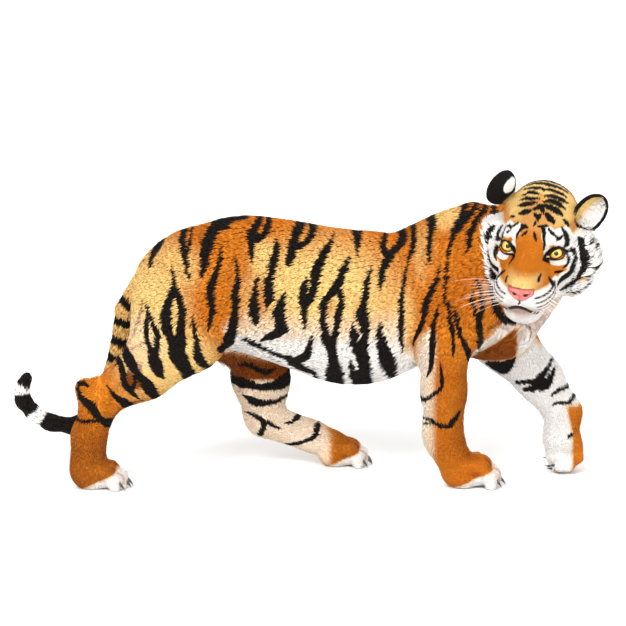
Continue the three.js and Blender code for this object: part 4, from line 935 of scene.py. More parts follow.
def bodyTones(p, n, own, shift):  # how pale and golden each point is, and its shade: darker brown on the lower legs, and painted shade in hollows and folds
    x, y, z = p.T
    gold, deep = np.zeros((2, len(x)))
    for cx, cz, rx, rz, much in goldPatches:
        gold = np.maximum(gold, much * patch(x - shift, z, cx, cz, rx, rz, 0.5))
    for cx, cz, rx, rz, much in deepPatches:
        deep = np.maximum(deep, much * patch(x - shift, z, cx, cz, rx, rz, 0.4))
    trunkOnly = 1 - np.max([own[k] for k in legs], axis=0)
    facing = smooth(0.5, 0, n[:, 1])  # all but what faces left
    pale, foldShade = legPale(p, n, own)
    rear = 0.62 * own["foreRight"] * smooth(440, 385, x) * smooth(590, 520, z)
    farFore = 0.95 * own["foreLeft"] * facing * smooth(470, 420, z)
    farHind = 0.55 * own["hindLeft"] * facing * smooth(325, 305, z) * smooth(90, 20, x)
    pale = np.max([bellyPale(p, n, own, trunkOnly), pale, rear, farFore, farHind], axis=0)
    front = smooth(890, 915, x + 0.25 * np.clip(z - 150, 0, None)) * smooth(262, 225, z)
    pale = pale * (1 - own["foreLeft"] * front)
    shin = own["foreRight"] * smooth(0.1, 0.8, n[:, 0]) * smooth(470, 380, z)
    hock = 1.5 * own["hindRight"] * smooth(330, 120, z) * (1 - pale)
    instep = own["hindLeft"] * smooth(40, 110, x) * (1 - pale)
    # painted shade on the far hind leg's upper inner side under the belly, and in the crook of the far
    # foreleg under the chest
    shankShade = own["hindLeft"] * smooth(318, 330, z) * smooth(470, 430, z) * facing
    crookShade = own["foreLeft"] * smooth(720, 690, x) * smooth(560, 520, z) * smooth(380, 410, z) * facing
    shade = np.max([shankShade, crookShade, 0.4 * shin, 0.4 * hock, 0.4 * instep], axis=0)
    pale = pale * (1 - shade * (own["hindLeft"] + own["foreLeft"]))
    # painted shade on the throat under the jaw, where it faces down
    throatShade = smooth(600, 680, x) * smooth(760, 700, z) * smooth(470, 540, z) * smooth(0.2, -0.4, n[:, 2])
    below = 442 + 0.785 * (x - 553) - z  # painted shade, brown, in the hollow under the chest beside the left foreleg
    shadeBrown = smooth(-10, 16, below) * smooth(715, 690, x) * smooth(530, 560, x) * smooth(300, 330, z)
    shadeBrown = shadeBrown * facing * trunkOnly
    shade = np.max([shade, 0.8 * throatShade * trunkOnly, 0.85 * shadeBrown, foldShade], axis=0)
    return pale * (1 - shadeBrown), gold * (1 - deep) * (1 - shadeBrown), shade


def skinTraits(p, n):  # which part each point is on, and how it is marked there
    x, y, z = p.T
    own, local = ownership(x, y, z)
    local = np.stack(local, 1)
    length, tailWay = alongTail(p)
    # on the left thigh and shoulder the flank's strokes move forward with the leg
    shift = own["hindLeft"] * smooth(430, 470, z) * 0.83 * np.clip(700 - z, 0, None)
    shift = shift + own["foreLeft"] * smooth(400, 440, z) * 0.8 * np.clip(730 - z, 0, None)
    stripe, onTail, onHead = stripeAt(p, own, local, length, shift)
    pale, gold, shade = bodyTones(p, n, own, shift)
    tip = 0.75 * smooth(380, 480, length) + 0.35 * smooth(690, 735, length)
    pale, gold = np.where(onTail, tip, pale), np.where(onTail, 0.7, gold)
    face = local[onHead]
    pale[onHead], gold[onHead], shade[onHead] = faceTones(face)
    bare = np.zeros(len(x))
    bare[onHead] = bareSkin(face)
    ear, cup, spot = earTraits(*local.T)
    marks = dict(stripe=stripe, gold=gold, pale=pale, shade=shade)
    marks.update(bare=bare, ear=ear, cup=cup, spot=spot)
    return marks, dict(own=own, local=local, length=length, tailWay=tailWay, tail=onTail, head=onHead)


print("skin")

# How deep the coat is over the skin, and how the skin is meshed, in millimetres.
coatDepth = dict(
    trunk=10, leg=6.5, paw=3.2, tail=8, face=2.4, crown=5.5, ruff=13, chin=6, ear=0.4, lid=0.7
)
skinSettings = dict(cell=6, soleHeight=0.6, headBlend=40)
bodyRest = [loft(trunk)] + neck + [m for leg in legs.values() for m in leg["all"]] + tail


def bodyDepth(x, y, z):  # how deep the coat is on the body
    d = coatDepth
    depth = blendTo(d["leg"], d["trunk"], smooth(430, 560, z))
    depth = blendTo(d["paw"], depth, smooth(70, 130, z))
    return blendTo(depth, d["tail"], smooth(-600, -640, x) * smooth(-20, 0, y))


def ruffAt(hx, hy, hz):  # 1 where the ruff grows
    return smooth(70, 112, np.abs(hy)) * smooth(70, 20, hz) * smooth(90, 40, hx)


def headDepth(hx, hy, hz):  # and on the head
    d = coatDepth
    depth = blendTo(d["face"], d["crown"], smooth(60, -20, hx) * smooth(70, 110, hz))
    depth = blendTo(depth, d["chin"], smooth(-95, -125, hz))
    depth = blendTo(depth, d["ruff"], ruffAt(hx, hy, hz))
    off = smooth(-2, 4, fieldAt(headMasses, hx, hy, hz))
    for place in ears.values():
        shape = earShape(*toLocal(place["frame"], hx, hy, hz))
        depth = blendTo(depth, d["ear"], smooth(7, 3, shape) * off)
    for side in sides:
        ahead = inEye(side, hx, hy, hz)[0]
        lid = smooth(9, 4, lidGap(side, hx, hy, hz)) * (ahead > 4) * (ahead < 40)
        depth = blendTo(depth, d["lid"], lid)
    return depth


def skinField(x, y, z, detail=faceDetail):  # below zero under the skin
    rest = fieldAt(bodyRest, x, y, z)
    local = toLocal(headFrame, x, y, z)
    head = headFrame["scale"] * fieldAt(headMasses + detail + earMasses, *local)
    own = 1 / (1 + np.exp(np.clip((head - rest) / 12, -30, 30)))
    depth = blendTo(bodyDepth(x, y, z), headDepth(*local), own)
    total = least(rest, head, skinSettings["headBlend"]) + depth
    return np.maximum(total, skinSettings["soleHeight"] - z)


def slopeOf(field, p, step=0.5):  # a field's value and its slope at points
    value = field(*p.T)
    slope = [(field(*(p + step * e).T) - value) / step for e in np.eye(3)]
    return value, np.stack(slope, 1)


def settle(field, p, height=0, rounds=3, most=4):  # moves points to where the field has a height
    for i in range(rounds):
        value, slope = slopeOf(field, p)
        move = (height - value) / np.maximum((slope * slope).sum(1), 0.25)
        p = p + slope * np.clip(move, -most, most)[:, None]
    return p


def surfaceOf(total, axes):  # the points and quads of a grid's zero surface
    grid = openvdb.FloatGrid(50.0)
    grid.copyFromArray(np.ascontiguousarray(np.clip(total, -50, 50), np.float32))
    p, quads = grid.convertToQuads(isovalue=0.0)
    return p * (axes[0][1] - axes[0][0]) + [a[0] for a in axes], quads[:, ::-1]


def bodySurface():
    lo, hi = np.array([-1050, -424, -14]), np.array([1010, 250, 1095])
    axes = [np.arange(a, b, skinSettings["cell"], dtype=float) for a, b in zip(lo, hi)]
    total = fieldGrid(bodyRest, axes) + bodyDepth(*np.ix_(*axes))
    box = placed(headAll, headFrame)
    ends = [np.searchsorted(a, (l - 60, h + 60)) for a, l, h in zip(axes, box["lo"], box["hi"])]
    span = tuple(slice(a, b) for a, b in ends)
    near = np.meshgrid(*(a[s] for a, s in zip(axes, span)), indexing="ij")
    total[span] = skinField(*near, detail=[pit])
    return surfaceOf(np.maximum(total, skinSettings["soleHeight"] - np.ix_(*axes)[2]), axes)


def readPoints(mesh):
    p = np.empty(len(mesh.vertices) * 3)
    mesh.vertices.foreach_get("co", p)
    return p.reshape(-1, 3)


def writePoints(mesh, p):
    mesh.vertices.foreach_set("co", np.ascontiguousarray(p, np.float32).ravel())
    mesh.update()


def split(mesh, chosen):  # cuts each face whose points are all chosen in four
    bm = bmesh.new()
    bm.from_mesh(mesh)
    edges = [e for e in bm.edges if chosen[e.verts[0].index] and chosen[e.verts[1].index]]
    bmesh.ops.subdivide_edges(bm, edges=edges, cuts=1, use_grid_fill=True)
    bm.to_mesh(mesh)
    bm.free()


def headPoints(p):
    return np.stack(toLocal(headFrame, *p.T), 1)


def nearFeatures(h):  # round the eyes, the nose and the mouth
    near = (h[:, 0] > 120) & (np.abs(h[:, 1]) < 62) & (h[:, 2] < 34) & (h[:, 2] > -92)
    for side in sides:
        near |= np.linalg.norm(h - eyeAxes(side)[0], axis=1) < 46
    return near


def makeSkin():
    p, quads = bodySurface()
    mesh = bpy.data.meshes.new("skin")
    mesh.from_pydata(p.tolist(), [], quads.tolist())
    print("skin quads", len(quads))
    h = headPoints(settle(skinField, p, rounds=1))
    split(mesh, (h[:, 0] > -90) & (np.abs(h[:, 1]) < 190) & (h[:, 2] > -150) & (h[:, 2] < 220))
    split(mesh, nearFeatures(headPoints(readPoints(mesh))))
    p = settle(skinField, readPoints(mesh), rounds=4)
    n = slopeOf(skinField, p)[1]
    writePoints(mesh, p)
    return mesh, p, unit(n)


originShift = np.array(sum(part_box("eye_left"), Vector()) / 2) * 1000 - toBody(
    headFrame, np.array(eye["place"])
)


def toMetres(p):
    return (p + originShift) / 1000


def putAttribute(mesh, name, values):
    values = np.ascontiguousarray(values, np.float32)
    kind, key = ("FLOAT", "value") if values.ndim == 1 else ("FLOAT_VECTOR", "vector")
    mesh.attributes.new(name, kind, "POINT").data.foreach_set(key, values.ravel())


def putMarks(mesh, marks, repeat=1):
    def triple(*names):
        return np.repeat(np.stack([marks[k] for k in names], 1), repeat, axis=0)

    putAttribute(mesh, "stripe", np.repeat(marks["stripe"], repeat))
    putAttribute(mesh, "tones", triple("gold", "pale", "shade"))
    putAttribute(mesh, "earMarks", triple("ear", "cup", "spot"))


def meshOf(name, points, faces):
    mesh = bpy.data.meshes.new(name)
    mesh.from_pydata(toMetres(points).tolist(), [], faces)
    return mesh


def addPiece(name, mesh, material):
    mesh.polygons.foreach_set("use_smooth", [True] * len(mesh.polygons))
    mesh.materials.append(material)
    piece = bpy.data.objects.new(name, mesh)
    bpy.context.collection.objects.link(piece)
    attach(piece, "root")
    return piece


skinMesh, skinPoints, skinNormals = makeSkin()
skinMarks, skinParts = skinTraits(skinPoints, skinNormals)
putMarks(skinMesh, skinMarks)
putAttribute(skinMesh, "bare", skinMarks["bare"])
writePoints(skinMesh, toMetres(skinPoints))

print("coat")

# How many tufts each piece of the coat has.
coatPieces = dict(
    flank_right=32000,
    flank_left=28000,
    fore_right=32000,
    fore_left=26000,
    face=32500,
    mane=32500,
    forelegs=24000,
    hindlegs=26000,
    tail=8000,
)
# Length and half width of the tufts, and how messily they lie.
tuftKinds = dict(
    trunk=(25, 2.5, 0.16),
    belly=(36, 2.5, 0.3),
    neck=(32, 2.6, 0.2),
    leg=(16, 2.0, 0.14),
    paw=(8, 1.4, 0.14),
    tail=(22, 2.3, 0.16),
    face=(8.5, 1.05, 0.08),
    muzzle=(5.5, 0.8, 0.07),
    crown=(12, 1.4, 0.12),
    ruff=(44, 2.1, 0.28),
    chin=(15, 1.2, 0.2),
    earBack=(9, 1.3, 0.15),
    earCup=(18, 1.2, 0.35),
)
pieceNames = list(coatPieces)


def pieceOf(p, parts):  # the number of each point's piece among the names
    x, y, z = p.T
    own, number = parts["own"], pieceNames.index
    fore = np.maximum(own["foreRight"], own["foreLeft"])
    hind = np.maximum(own["hindRight"], own["hindLeft"])
    right = np.where(x > 270, number("fore_right"), number("flank_right"))
    left = np.where(x > 270, number("fore_left"), number("flank_left"))
    piece = np.where(y > 0, left, right)
    piece = np.where((fore > 0.5) & (z < 480), number("forelegs"), piece)
    piece = np.where((hind > 0.5) & (z < 480), number("hindlegs"), piece)
    piece = np.where(parts["tail"], number("tail"), piece)
    head = np.where(parts["local"][:, 0] > 14, number("face"), number("mane"))
    return np.where(parts["head"], head, piece)


def tuftShape(p, n, marks, parts):  # each tuft's length, half width and mess
    x, y, z = p.T
    h = parts["local"]
    traits = {k: np.array(v) for k, v in tuftKinds.items()}
    many = np.ones((len(p), 1))

    def mix(a, name, t):
        return blendTo(a, traits[name], np.reshape(t, (-1, 1)) * many)

    shape = mix(traits["leg"] * many, "trunk", smooth(430, 560, z))
    shape = mix(shape, "belly", smooth(-0.3, -0.8, n[:, 2]) * smooth(340, 400, z) * (x < 420))
    shape = mix(shape, "neck", smooth(420, 520, x) * smooth(560, 640, z))
    shape = mix(shape, "paw", smooth(130, 70, z))
    shape = mix(shape, "tail", parts["tail"])
    face = mix(traits["face"] * many, "crown", smooth(60, -20, h[:, 0]) * smooth(60, 110, h[:, 2]))
    face = mix(face, "muzzle", smooth(110, 150, h[:, 0]) * smooth(-100, -85, h[:, 2]))
    face = mix(face, "chin", smooth(-95, -125, h[:, 2]))
    face = mix(face, "ruff", ruffAt(*h.T))
    face = mix(face, "earBack", marks["ear"])
    face = mix(face, "earCup", marks["cup"] * marks["ear"])
    return np.where(parts["head"][:, None], face, shape)


def lieOf(p, n, marks, parts):  # the way the coat lies on the skin
    x, y, z = p.T
    flank = np.stack([-np.ones(len(x)), 0 * x, -0.28 - 0.3 * smooth(800, 500, z)], 1)
    front = smooth(0.2, 0.7, n[:, 0]) * smooth(450, 520, x)
    collar = smooth(450, 600, x)[:, None] * np.array([0.25, 0.25, -0.35])
    way = blendTo(flank + collar, np.array([-0.15, 0, -1]), front[:, None])
    for name, leg in legs.items():
        down = np.zeros((len(p), 3))
        for a, b in [m["ends"] for m in leg["masses"] if "ends" in m]:
            d = b - a
            t = np.clip((p - a) @ d / (d @ d), 0, 1)
            away = np.linalg.norm(p - a - t[:, None] * d, axis=1)
            down += np.exp(-away / 22)[:, None] * d / np.linalg.norm(d)
        down = unit(down, 1e-9)
        toes = leg["frame"]["turn"] @ (1, 0, -0.2)
        lx = toLocal(leg["frame"], x, y, z)[0]
        down = blendTo(down, toes, smooth(0, 40, lx)[:, None])
        top = 560 if "hind" in name else 600
        way = blendTo(way, down, (parts["own"][name] * smooth(top + 60, top - 90, z))[:, None])
    way = np.where(parts["tail"][:, None], parts["tailWay"], way)
    h = parts["local"]
    back = unit(h - (196, 0, -14))  # away from the nose
    for place in ears.values():
        lx, ly, lz = toLocal(place["frame"], *h.T)
        here = (marks["ear"] > 0.3) & (np.abs(lz) < 90) & (np.abs(ly) < 70) & (np.abs(lx) < 60)
        rise = place["frame"]["turn"] @ (0, 0, 1)
        spread = place["frame"]["turn"] @ (0, 1, 0)
        fan = rise + spread * (ly / 60)[:, None]
        back = np.where(here[:, None], fan, back)
    way = np.where(parts["head"][:, None], back @ headFrame["turn"].T, way)
    way = way - n * (way * n).sum(1)[:, None]
    return unit(way, 1e-3)


def legUnwrap(p, name):  # round a leg's own middle line, and up it
    ends = sorted((m["ends"] for m in legs[name]["masses"] if "ends" in m), key=lambda e: e[1][2])
    line = np.array([e[1] for e in ends] + [ends[-1][0]])
    cx, cy = np.interp(p[:, 2], line[:, 2], line[:, 0]), np.interp(p[:, 2], line[:, 2], line[:, 1])
    return np.arctan2(p[:, 1] - cy, p[:, 0] - cx) / (2 * math.pi) + 0.5, p[:, 2] / 520


def unwrap(name, p, marks, parts):  # a place from 0 to 1 on an unwrap of the skin
    x, y, z = p.T
    if name in ("forelegs", "hindlegs"):
        pair = ("foreRight", "foreLeft") if name == "forelegs" else ("hindRight", "hindLeft")
        second = parts["own"][pair[1]] > parts["own"][pair[0]]
        u, v = (np.where(second, b, a) for a, b in zip(legUnwrap(p, pair[0]), legUnwrap(p, pair[1])))
        return (u * 0.94 + 0.03 + second) / 2, v
    if name == "tail":
        away = p - tailMiddle(parts["length"])
        outward = np.cross(parts["tailWay"], (0, 1, 0))
        turn = np.arctan2(away[:, 1], (away * outward).sum(1))
        return parts["length"] / 1150, turn / (2 * math.pi) + 0.5
    if name in ("face", "mane"):
        left, up = faceAngles(*parts["local"].T)
        u, v = 0.3 + 0.68 * (left / 360 + 0.5), up / 180 + 0.5
        for i, place in enumerate(ears.values()):
            lx, ly, lz = toLocal(place["frame"], *parts["local"].T)
            here = (marks["ear"] > 0.3) & (np.abs(lz) < 80) & (np.abs(ly) < 70)
            u = np.where(here, 0.02 + 0.2 * (ly + 70) / 140, u)
            v = np.where(here, (2 * i + (marks["cup"] > 0.5) + (lz + 80) / 160) / 4, v)
        return u, v
    lo, hi = (-620, 300) if "flank" in name else (240, 900)
    return (x - lo) / (hi - lo), np.arctan2(z - 650, np.abs(y) + 30) / math.pi + 0.5


def clumped(p, tip, size, pull, rng):  # draws the tips of neighbours together
    cell = np.floor(p @ frameOf([0, 0, 0], 31, 17, 43)["turn"] / size[:, None]).astype(int)
    keys, group = np.unique(cell, axis=0, return_inverse=True)
    group = group.ravel()
    count = np.bincount(group)
    middle = np.stack([np.bincount(group, tip[:, i]) / count for i in range(3)], 1)
    return tip + (middle[group] - tip) * pull[:, None], rng.uniform(0, 1, len(keys))[group]


growth = dict(
    sink=0.4,  # how far a tuft's root goes into the skin
    bend=0.42,  # where along a tuft its middle is
    bendRise=0.62,  # the middle's height, of the tip's
    tipRise=(0.3, 0.35, 0.35),  # the tip's height, of the coat's depth: least, by clump, by tuft
    clump=(9, 0.35),  # a clump's size, and how it grows with the tufts' length
    mess=(2.2, 0.65),  # how far the mess draws a clump together, and the most it may
    ruffRise=9,
    keel=0.5,  # the height of a tuft's ridge, of its half width
    lidRoom=2,
    lipRoom=0.8,
    floorRoom=0.35,
)


def scatter(many, triangles, corners, weight, rng):  # places and normals, evenly by weight
    total = np.cumsum(weight)
    pick = (np.arange(many) + rng.uniform(0, 1, many)) * total[-1] / many
    face = np.minimum(np.searchsorted(total, pick), len(total) - 1)
    a, b = rng.uniform(0, 1, (2, many))
    over = a + b > 1
    a, b = np.where(over, 1 - a, a)[:, None], np.where(over, 1 - b, b)[:, None]
    corner = [c[triangles[face]] for c in corners]
    return [c[:, 0] + a * (c[:, 1] - c[:, 0]) + b * (c[:, 2] - c[:, 0]) for c in corner]


def mayGrow(p, n, tip, marks, parts):  # not on bare skin, on soles or over eyes, lips and nose
    tipHead = headPoints(tip)
    keep = (marks["bare"] < 0.25) & ((n[:, 2] > -0.8) | (p[:, 2] > 12))
    for side in sides:
        ahead = inEye(side, *tipHead.T)[0]
        keep &= (lidGap(side, *tipHead.T) > growth["lidRoom"]) | (ahead < 0)
    keep &= ~noseCovers(headPoints(p)) & ~noseCovers(tipHead)
    return keep & (~parts["head"] | (toFaceStrokes(lips, tipHead) > growth["lipRoom"]))


def growTufts(name, triangles, corners, weight, rng):
    many = coatPieces[name] // 1
    p, n = scatter(many, triangles, corners, weight, rng)
    n = unit(n)
    marks, parts = skinTraits(p, n)
    shape = tuftShape(p, n, marks, parts)
    long = shape[:, 0] * rng.uniform(0.75, 1.2, many)
    way = lieOf(p, n, marks, parts)
    turn = (rng.normal(0, 1, many) * shape[:, 2])[:, None]
    way = way * np.cos(turn) + np.cross(n, way) * np.sin(turn)
    across = np.cross(n, way)
    local = headPoints(p).T
    own = parts["own"]["head"]
    depth = blendTo(bodyDepth(*p.T), headDepth(*local), own)
    pull, most = growth["mess"]
    size, more = growth["clump"]
    flat = p + way * long[:, None]
    flat, lift = clumped(p, flat, size + more * shape[:, 0], np.clip(shape[:, 2] * pull, 0, most), rng)
    lowest, byClump, byTuft = growth["tipRise"]
    height = depth * (lowest + byClump * lift + byTuft * rng.uniform(0, 1, many))
    height += own * ruffAt(*local) * lift * lift * growth["ruffRise"]
    mid = settle(skinField, blendTo(p, flat, growth["bend"]), height * growth["bendRise"], 2, 6)
    tip = settle(skinField, flat, height, 2, 6)
    keep = mayGrow(p, n, tip, marks, parts)
    half = shape[:, 1:2] * rng.uniform(0.8, 1.2, (many, 1))
    ridge = mid + n * half * growth["keel"]
    points = np.stack([p - n * growth["sink"], mid + across * half, mid - across * half, ridge, tip], 1)
    points = points[keep]
    points[..., 2] = np.maximum(points[..., 2], growth["floorRoom"])
    place = unwrap(name, p[keep], {k: m[keep] for k, m in marks.items()}, takeParts(parts, keep))
    # the tones are read where the tuft's middle lies, so that the markings stay in place
    middleMarks = skinTraits(mid, n)[0]
    for k in ("stripe", "gold", "pale", "shade"):
        marks[k] = middleMarks[k]
    return points, {k: m[keep] for k, m in marks.items()}, rng.uniform(0, 1, len(points)), place


def takeParts(parts, keep):
    own = {k: m[keep] for k, m in parts["own"].items()}
    return dict(own=own, **{k: parts[k][keep] for k in ("local", "length", "tailWay", "tail", "head")})


# A tuft is a thin leaf of five points: its root, two sides, its ridge and its tip.
leafFaces = np.array([(0, 3, 1), (0, 2, 3), (0, 1, 2), (4, 1, 3), (4, 3, 2), (4, 2, 1)])
leafAlong = np.array([0, 0.45, 0.45, 0.5, 1])
leafAcross = np.array([0, -1, 1, 0, 0])
leafPatch = np.array([(0, -0.5), (-0.5, 0), (0.5, 0), (0, 0.1), (0, 0.5)]) * 0.003


def tuftMesh(name, points, marks, vary, place):
    count = len(points)
    mesh = bpy.data.meshes.new(name)
    mesh.vertices.add(count * 5)
    mesh.loops.add(count * 18)
    mesh.polygons.add(count * 6)
    corners = (np.arange(count)[:, None, None] * 5 + leafFaces).ravel()
    mesh.loops.foreach_set("vertex_index", corners)
    mesh.polygons.foreach_set("loop_start", np.arange(count * 6) * 3)
    mesh.polygons.foreach_set("loop_total", np.full(count * 6, 3))
    writePoints(mesh, toMetres(points.reshape(-1, 3)))
    putMarks(mesh, marks, 5)
    hair = np.stack([np.tile(leafAlong, count), np.tile(leafAcross, count), np.repeat(vary, 5)], 1)
    putAttribute(mesh, "hair", hair)
    layer = mesh.uv_layers.new(name="OFBake")
    uv = np.clip(np.stack(place, 1), 0.004, 0.996)[:, None] + leafPatch
    layer.data.foreach_set("uv", uv.reshape(-1, 2)[corners].astype(np.float32).ravel())
    mesh.validate()
    return mesh


print("nose, eyes, claws and whiskers")


def nostril(side):
    inner = bone((214, side * 11, -20), (202, side * 15, -20), 4.6, 5.2, blend=5)
    slit = bone((212, side * 15, -19), (198, side * 30, -11), 3.6, 2.4, blend=5)
    return [hollow(inner), hollow(slit)]


def noseField(x, y, z):
    front = fieldAt(headMasses + nostril(1) + nostril(-1), x, y, z) - nose["proud"]
    crease = 1.6 * np.exp(-((y / 1.6) ** 2)) * smooth(-8, -22, z)  # from the lip up to the middle
    pad = np.maximum(front + crease, nose["start"] - x)
    return -least(-pad, -noseGap(y, z), 6)


def makeNose(material):
    lo, hi = (nose["start"] - 4, -42, -46), (224, 42, 8)
    axes = [np.arange(a, b, nose["cell"]) for a, b in zip(lo, hi)]
    p, quads = surfaceOf(noseField(*np.meshgrid(*axes, indexing="ij")), axes)
    p = settle(noseField, p, rounds=2, most=0.6)
    mesh = meshOf("nose", toBody(headFrame, p), quads.tolist())
    # painted shade inside the nostrils
    nostrilShading = sum(np.exp(-(((p[:, 1] - s * 14) / 7) ** 2 + ((p[:, 2] + 19) / 6) ** 2)) for s in sides)
    putAttribute(mesh, "nostrilShade", np.clip(nostrilShading * smooth(213, 206, p[:, 0]), 0, 1))
    putAttribute(mesh, "rim", smooth(-4, -0.5, noseGap(p[:, 1], p[:, 2])))
    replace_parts(addPiece("nose", mesh, material), "nose_pad")


eyeball = dict(rings=56, turns=72, bulge=1.6, bulgeEdge=34, pupil=17, iris=53, toCamera=0.8)


def ringFaces(rows, turns):  # rings of points, with a point before the first and one after the last
    first, last = rows * turns, rows * turns + 1
    faces = []
    for j in range(turns):
        k = (j + 1) % turns
        faces.append((first, j, k))
        faces.append((last, last - 1 - turns + k, last - 1 - turns + j))
        for i in range(0, (rows - 1) * turns, turns):
            faces.append((i + j, i + turns + j, i + turns + k, i + k))
    return faces


def makeEye(side, node, material, cameraPlace):
    middle, axes = eyeAxes(side)
    toCamera = np.stack(toLocal(headFrame, *cameraPlace), -1) - middle
    look = unit(blendTo(axes[0], unit(toCamera), eyeball["toCamera"]))
    across = unit(np.cross((0, 0, 1), look))
    rise = np.cross(look, across)
    polar = np.linspace(0, math.pi, eyeball["rings"] + 1)[1:-1]
    spin = np.arange(eyeball["turns"]) / eyeball["turns"] * 2 * math.pi
    a, s = (v.ravel() for v in np.meshgrid(polar, spin, indexing="ij"))
    a, s = np.append(a, (0, math.pi)), np.append(s, (0, 0))
    bulge = eyeball["bulge"] * smooth(eyeball["bulgeEdge"], 0, np.degrees(a))
    ring = np.cos(s)[:, None] * across + np.sin(s)[:, None] * rise
    p = (eye["radius"] + bulge)[:, None] * (np.cos(a)[:, None] * look + np.sin(a)[:, None] * ring)
    mesh = meshOf(node, toBody(headFrame, p + middle), ringFaces(len(polar), eyeball["turns"]))
    putAttribute(mesh, "iris", np.stack([np.degrees(a), np.cos(s), np.sin(s)], 1))
    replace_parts(addPiece(node.replace("eye", "eyeball"), mesh, material), node)


claw = dict(radius=6.8, length=34, root=6, bend=85, steps=18, turns=14, droop=34, back=4, up=11)
tiptoeClaw = dict(droop=74, back=25, up=-12)  # on the left forepaw, which stands on its toes' tips


def makeClaw(legName, number, place, material):
    leg = legs[legName]
    kind = tiptoeClaw if legName == "foreLeft" else claw
    reach, y, tip = toeEnd(leg, place)[:3]
    own = frameOf([reach - kind["back"], y * 1.04, tip + kind["up"]], pitch=kind["droop"])
    steps = np.linspace(0, 1, claw["steps"] + 1)[:-1]
    spin = np.arange(claw["turns"]) / claw["turns"] * 2 * math.pi
    t, s = (v.ravel() for v in np.meshgrid(steps, spin, indexing="ij"))
    x = t * claw["length"] - claw["root"]
    radius = claw["radius"] * (1 - t**1.5) * (0.94 - 0.1 * (np.sin(s) < -0.5))
    hook = np.sign(x) * x * x / claw["bend"]
    p = np.stack([x, radius * 0.8 * np.cos(s), radius * 1.08 * np.sin(s) - hook], 1)
    x = claw["length"] - claw["root"]
    p = np.concatenate([p, [(-claw["root"], 0, 0), (x, 0, -x * x / claw["bend"])]])
    faces = ringFaces(claw["steps"], claw["turns"])
    p = toBody(leg["frame"], toBody(own, p))
    p[:, 2] = np.maximum(p[:, 2], 1.5)
    family, side = ("fore" if "fore" in legName else "hind"), legName[4:].lower()
    mesh = meshOf("claw", p, [f[::-1] for f in faces])
    putAttribute(mesh, "along", np.append(t, (0, 1)))
    name = f"claw_{family}_{side}_{number}"
    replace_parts(addPiece(name.replace("claw", "horn"), mesh, material), name)


whiskerSettings = dict(each=5, radius=0.8, long=(75, 135), brow=34, sag=0.24, steps=14, sides=4)


def hairTube(root, way, long, radius):  # a thin tapered hair that sags: its points and faces
    steps, around = whiskerSettings["steps"], whiskerSettings["sides"]
    t = np.linspace(0, 1, steps)[:, None]
    way = unit(way)
    line = root + way * t * long - np.array([0, 0, 1]) * t * t * long * whiskerSettings["sag"]
    side = unit(np.cross(way, (0, 0, 1)))
    turn = np.arange(around)[:, None] / around * 2 * math.pi
    ring = np.cos(turn) * side + np.sin(turn) * np.cross(side, way)
    points = line[:, None] + (radius * (1 - 0.85 * t))[:, None] * ring
    faces = [
        (i + k, i + (k + 1) % around, i + around + (k + 1) % around, i + around + k)
        for i in range(0, (steps - 1) * around, around)
        for k in range(around)
    ]
    last = steps * around
    return points.reshape(-1, 3), faces + [tuple(range(around))[::-1], tuple(range(last - around, last))]


def makeWhiskers(material, rng):  # from the whisker pads and the brows
    points, faces = [], []

    def hair(left, up, way, long, radius):
        root = onFace(np.array([left]), np.array([up]))[0] * 0.985
        tube, tubeFaces = hairTube(root, way, long, radius)
        faces.extend(tuple(k + len(points) for k in f) for f in tubeFaces)
        points.extend(tube)

    shortest, longest = whiskerSettings["long"]
    thick, brow = whiskerSettings["radius"], whiskerSettings["brow"]
    for side in sides:
        for row, up in enumerate(whiskerRows["ups"]):
            for i in range(whiskerSettings["each"]):
                left = side * (whiskerRows["inner"] + 2 + 2.2 * i)
                long = rng.uniform(shortest, longest) * (0.7 + 0.06 * i)
                way = np.array([0.1 - 0.02 * i, side, -0.02 - 0.13 * row - 0.12 * side])
                way = way + rng.normal(0, 0.05, 3)
                hair(left, up + 0.16 * (abs(left) - 9), way, long, thick)
        for i in range(3):
            way = np.array([0.5, side * 0.5, 1.0]) + rng.normal(0, 0.1, 3)
            hair(side * (24 + 5 * i), 33.0, way, brow, thick * 0.7)
    mesh = meshOf("whiskers", toBody(headFrame, np.array(points)), faces)
    addPiece("whiskers", mesh, material)


print("finishes")


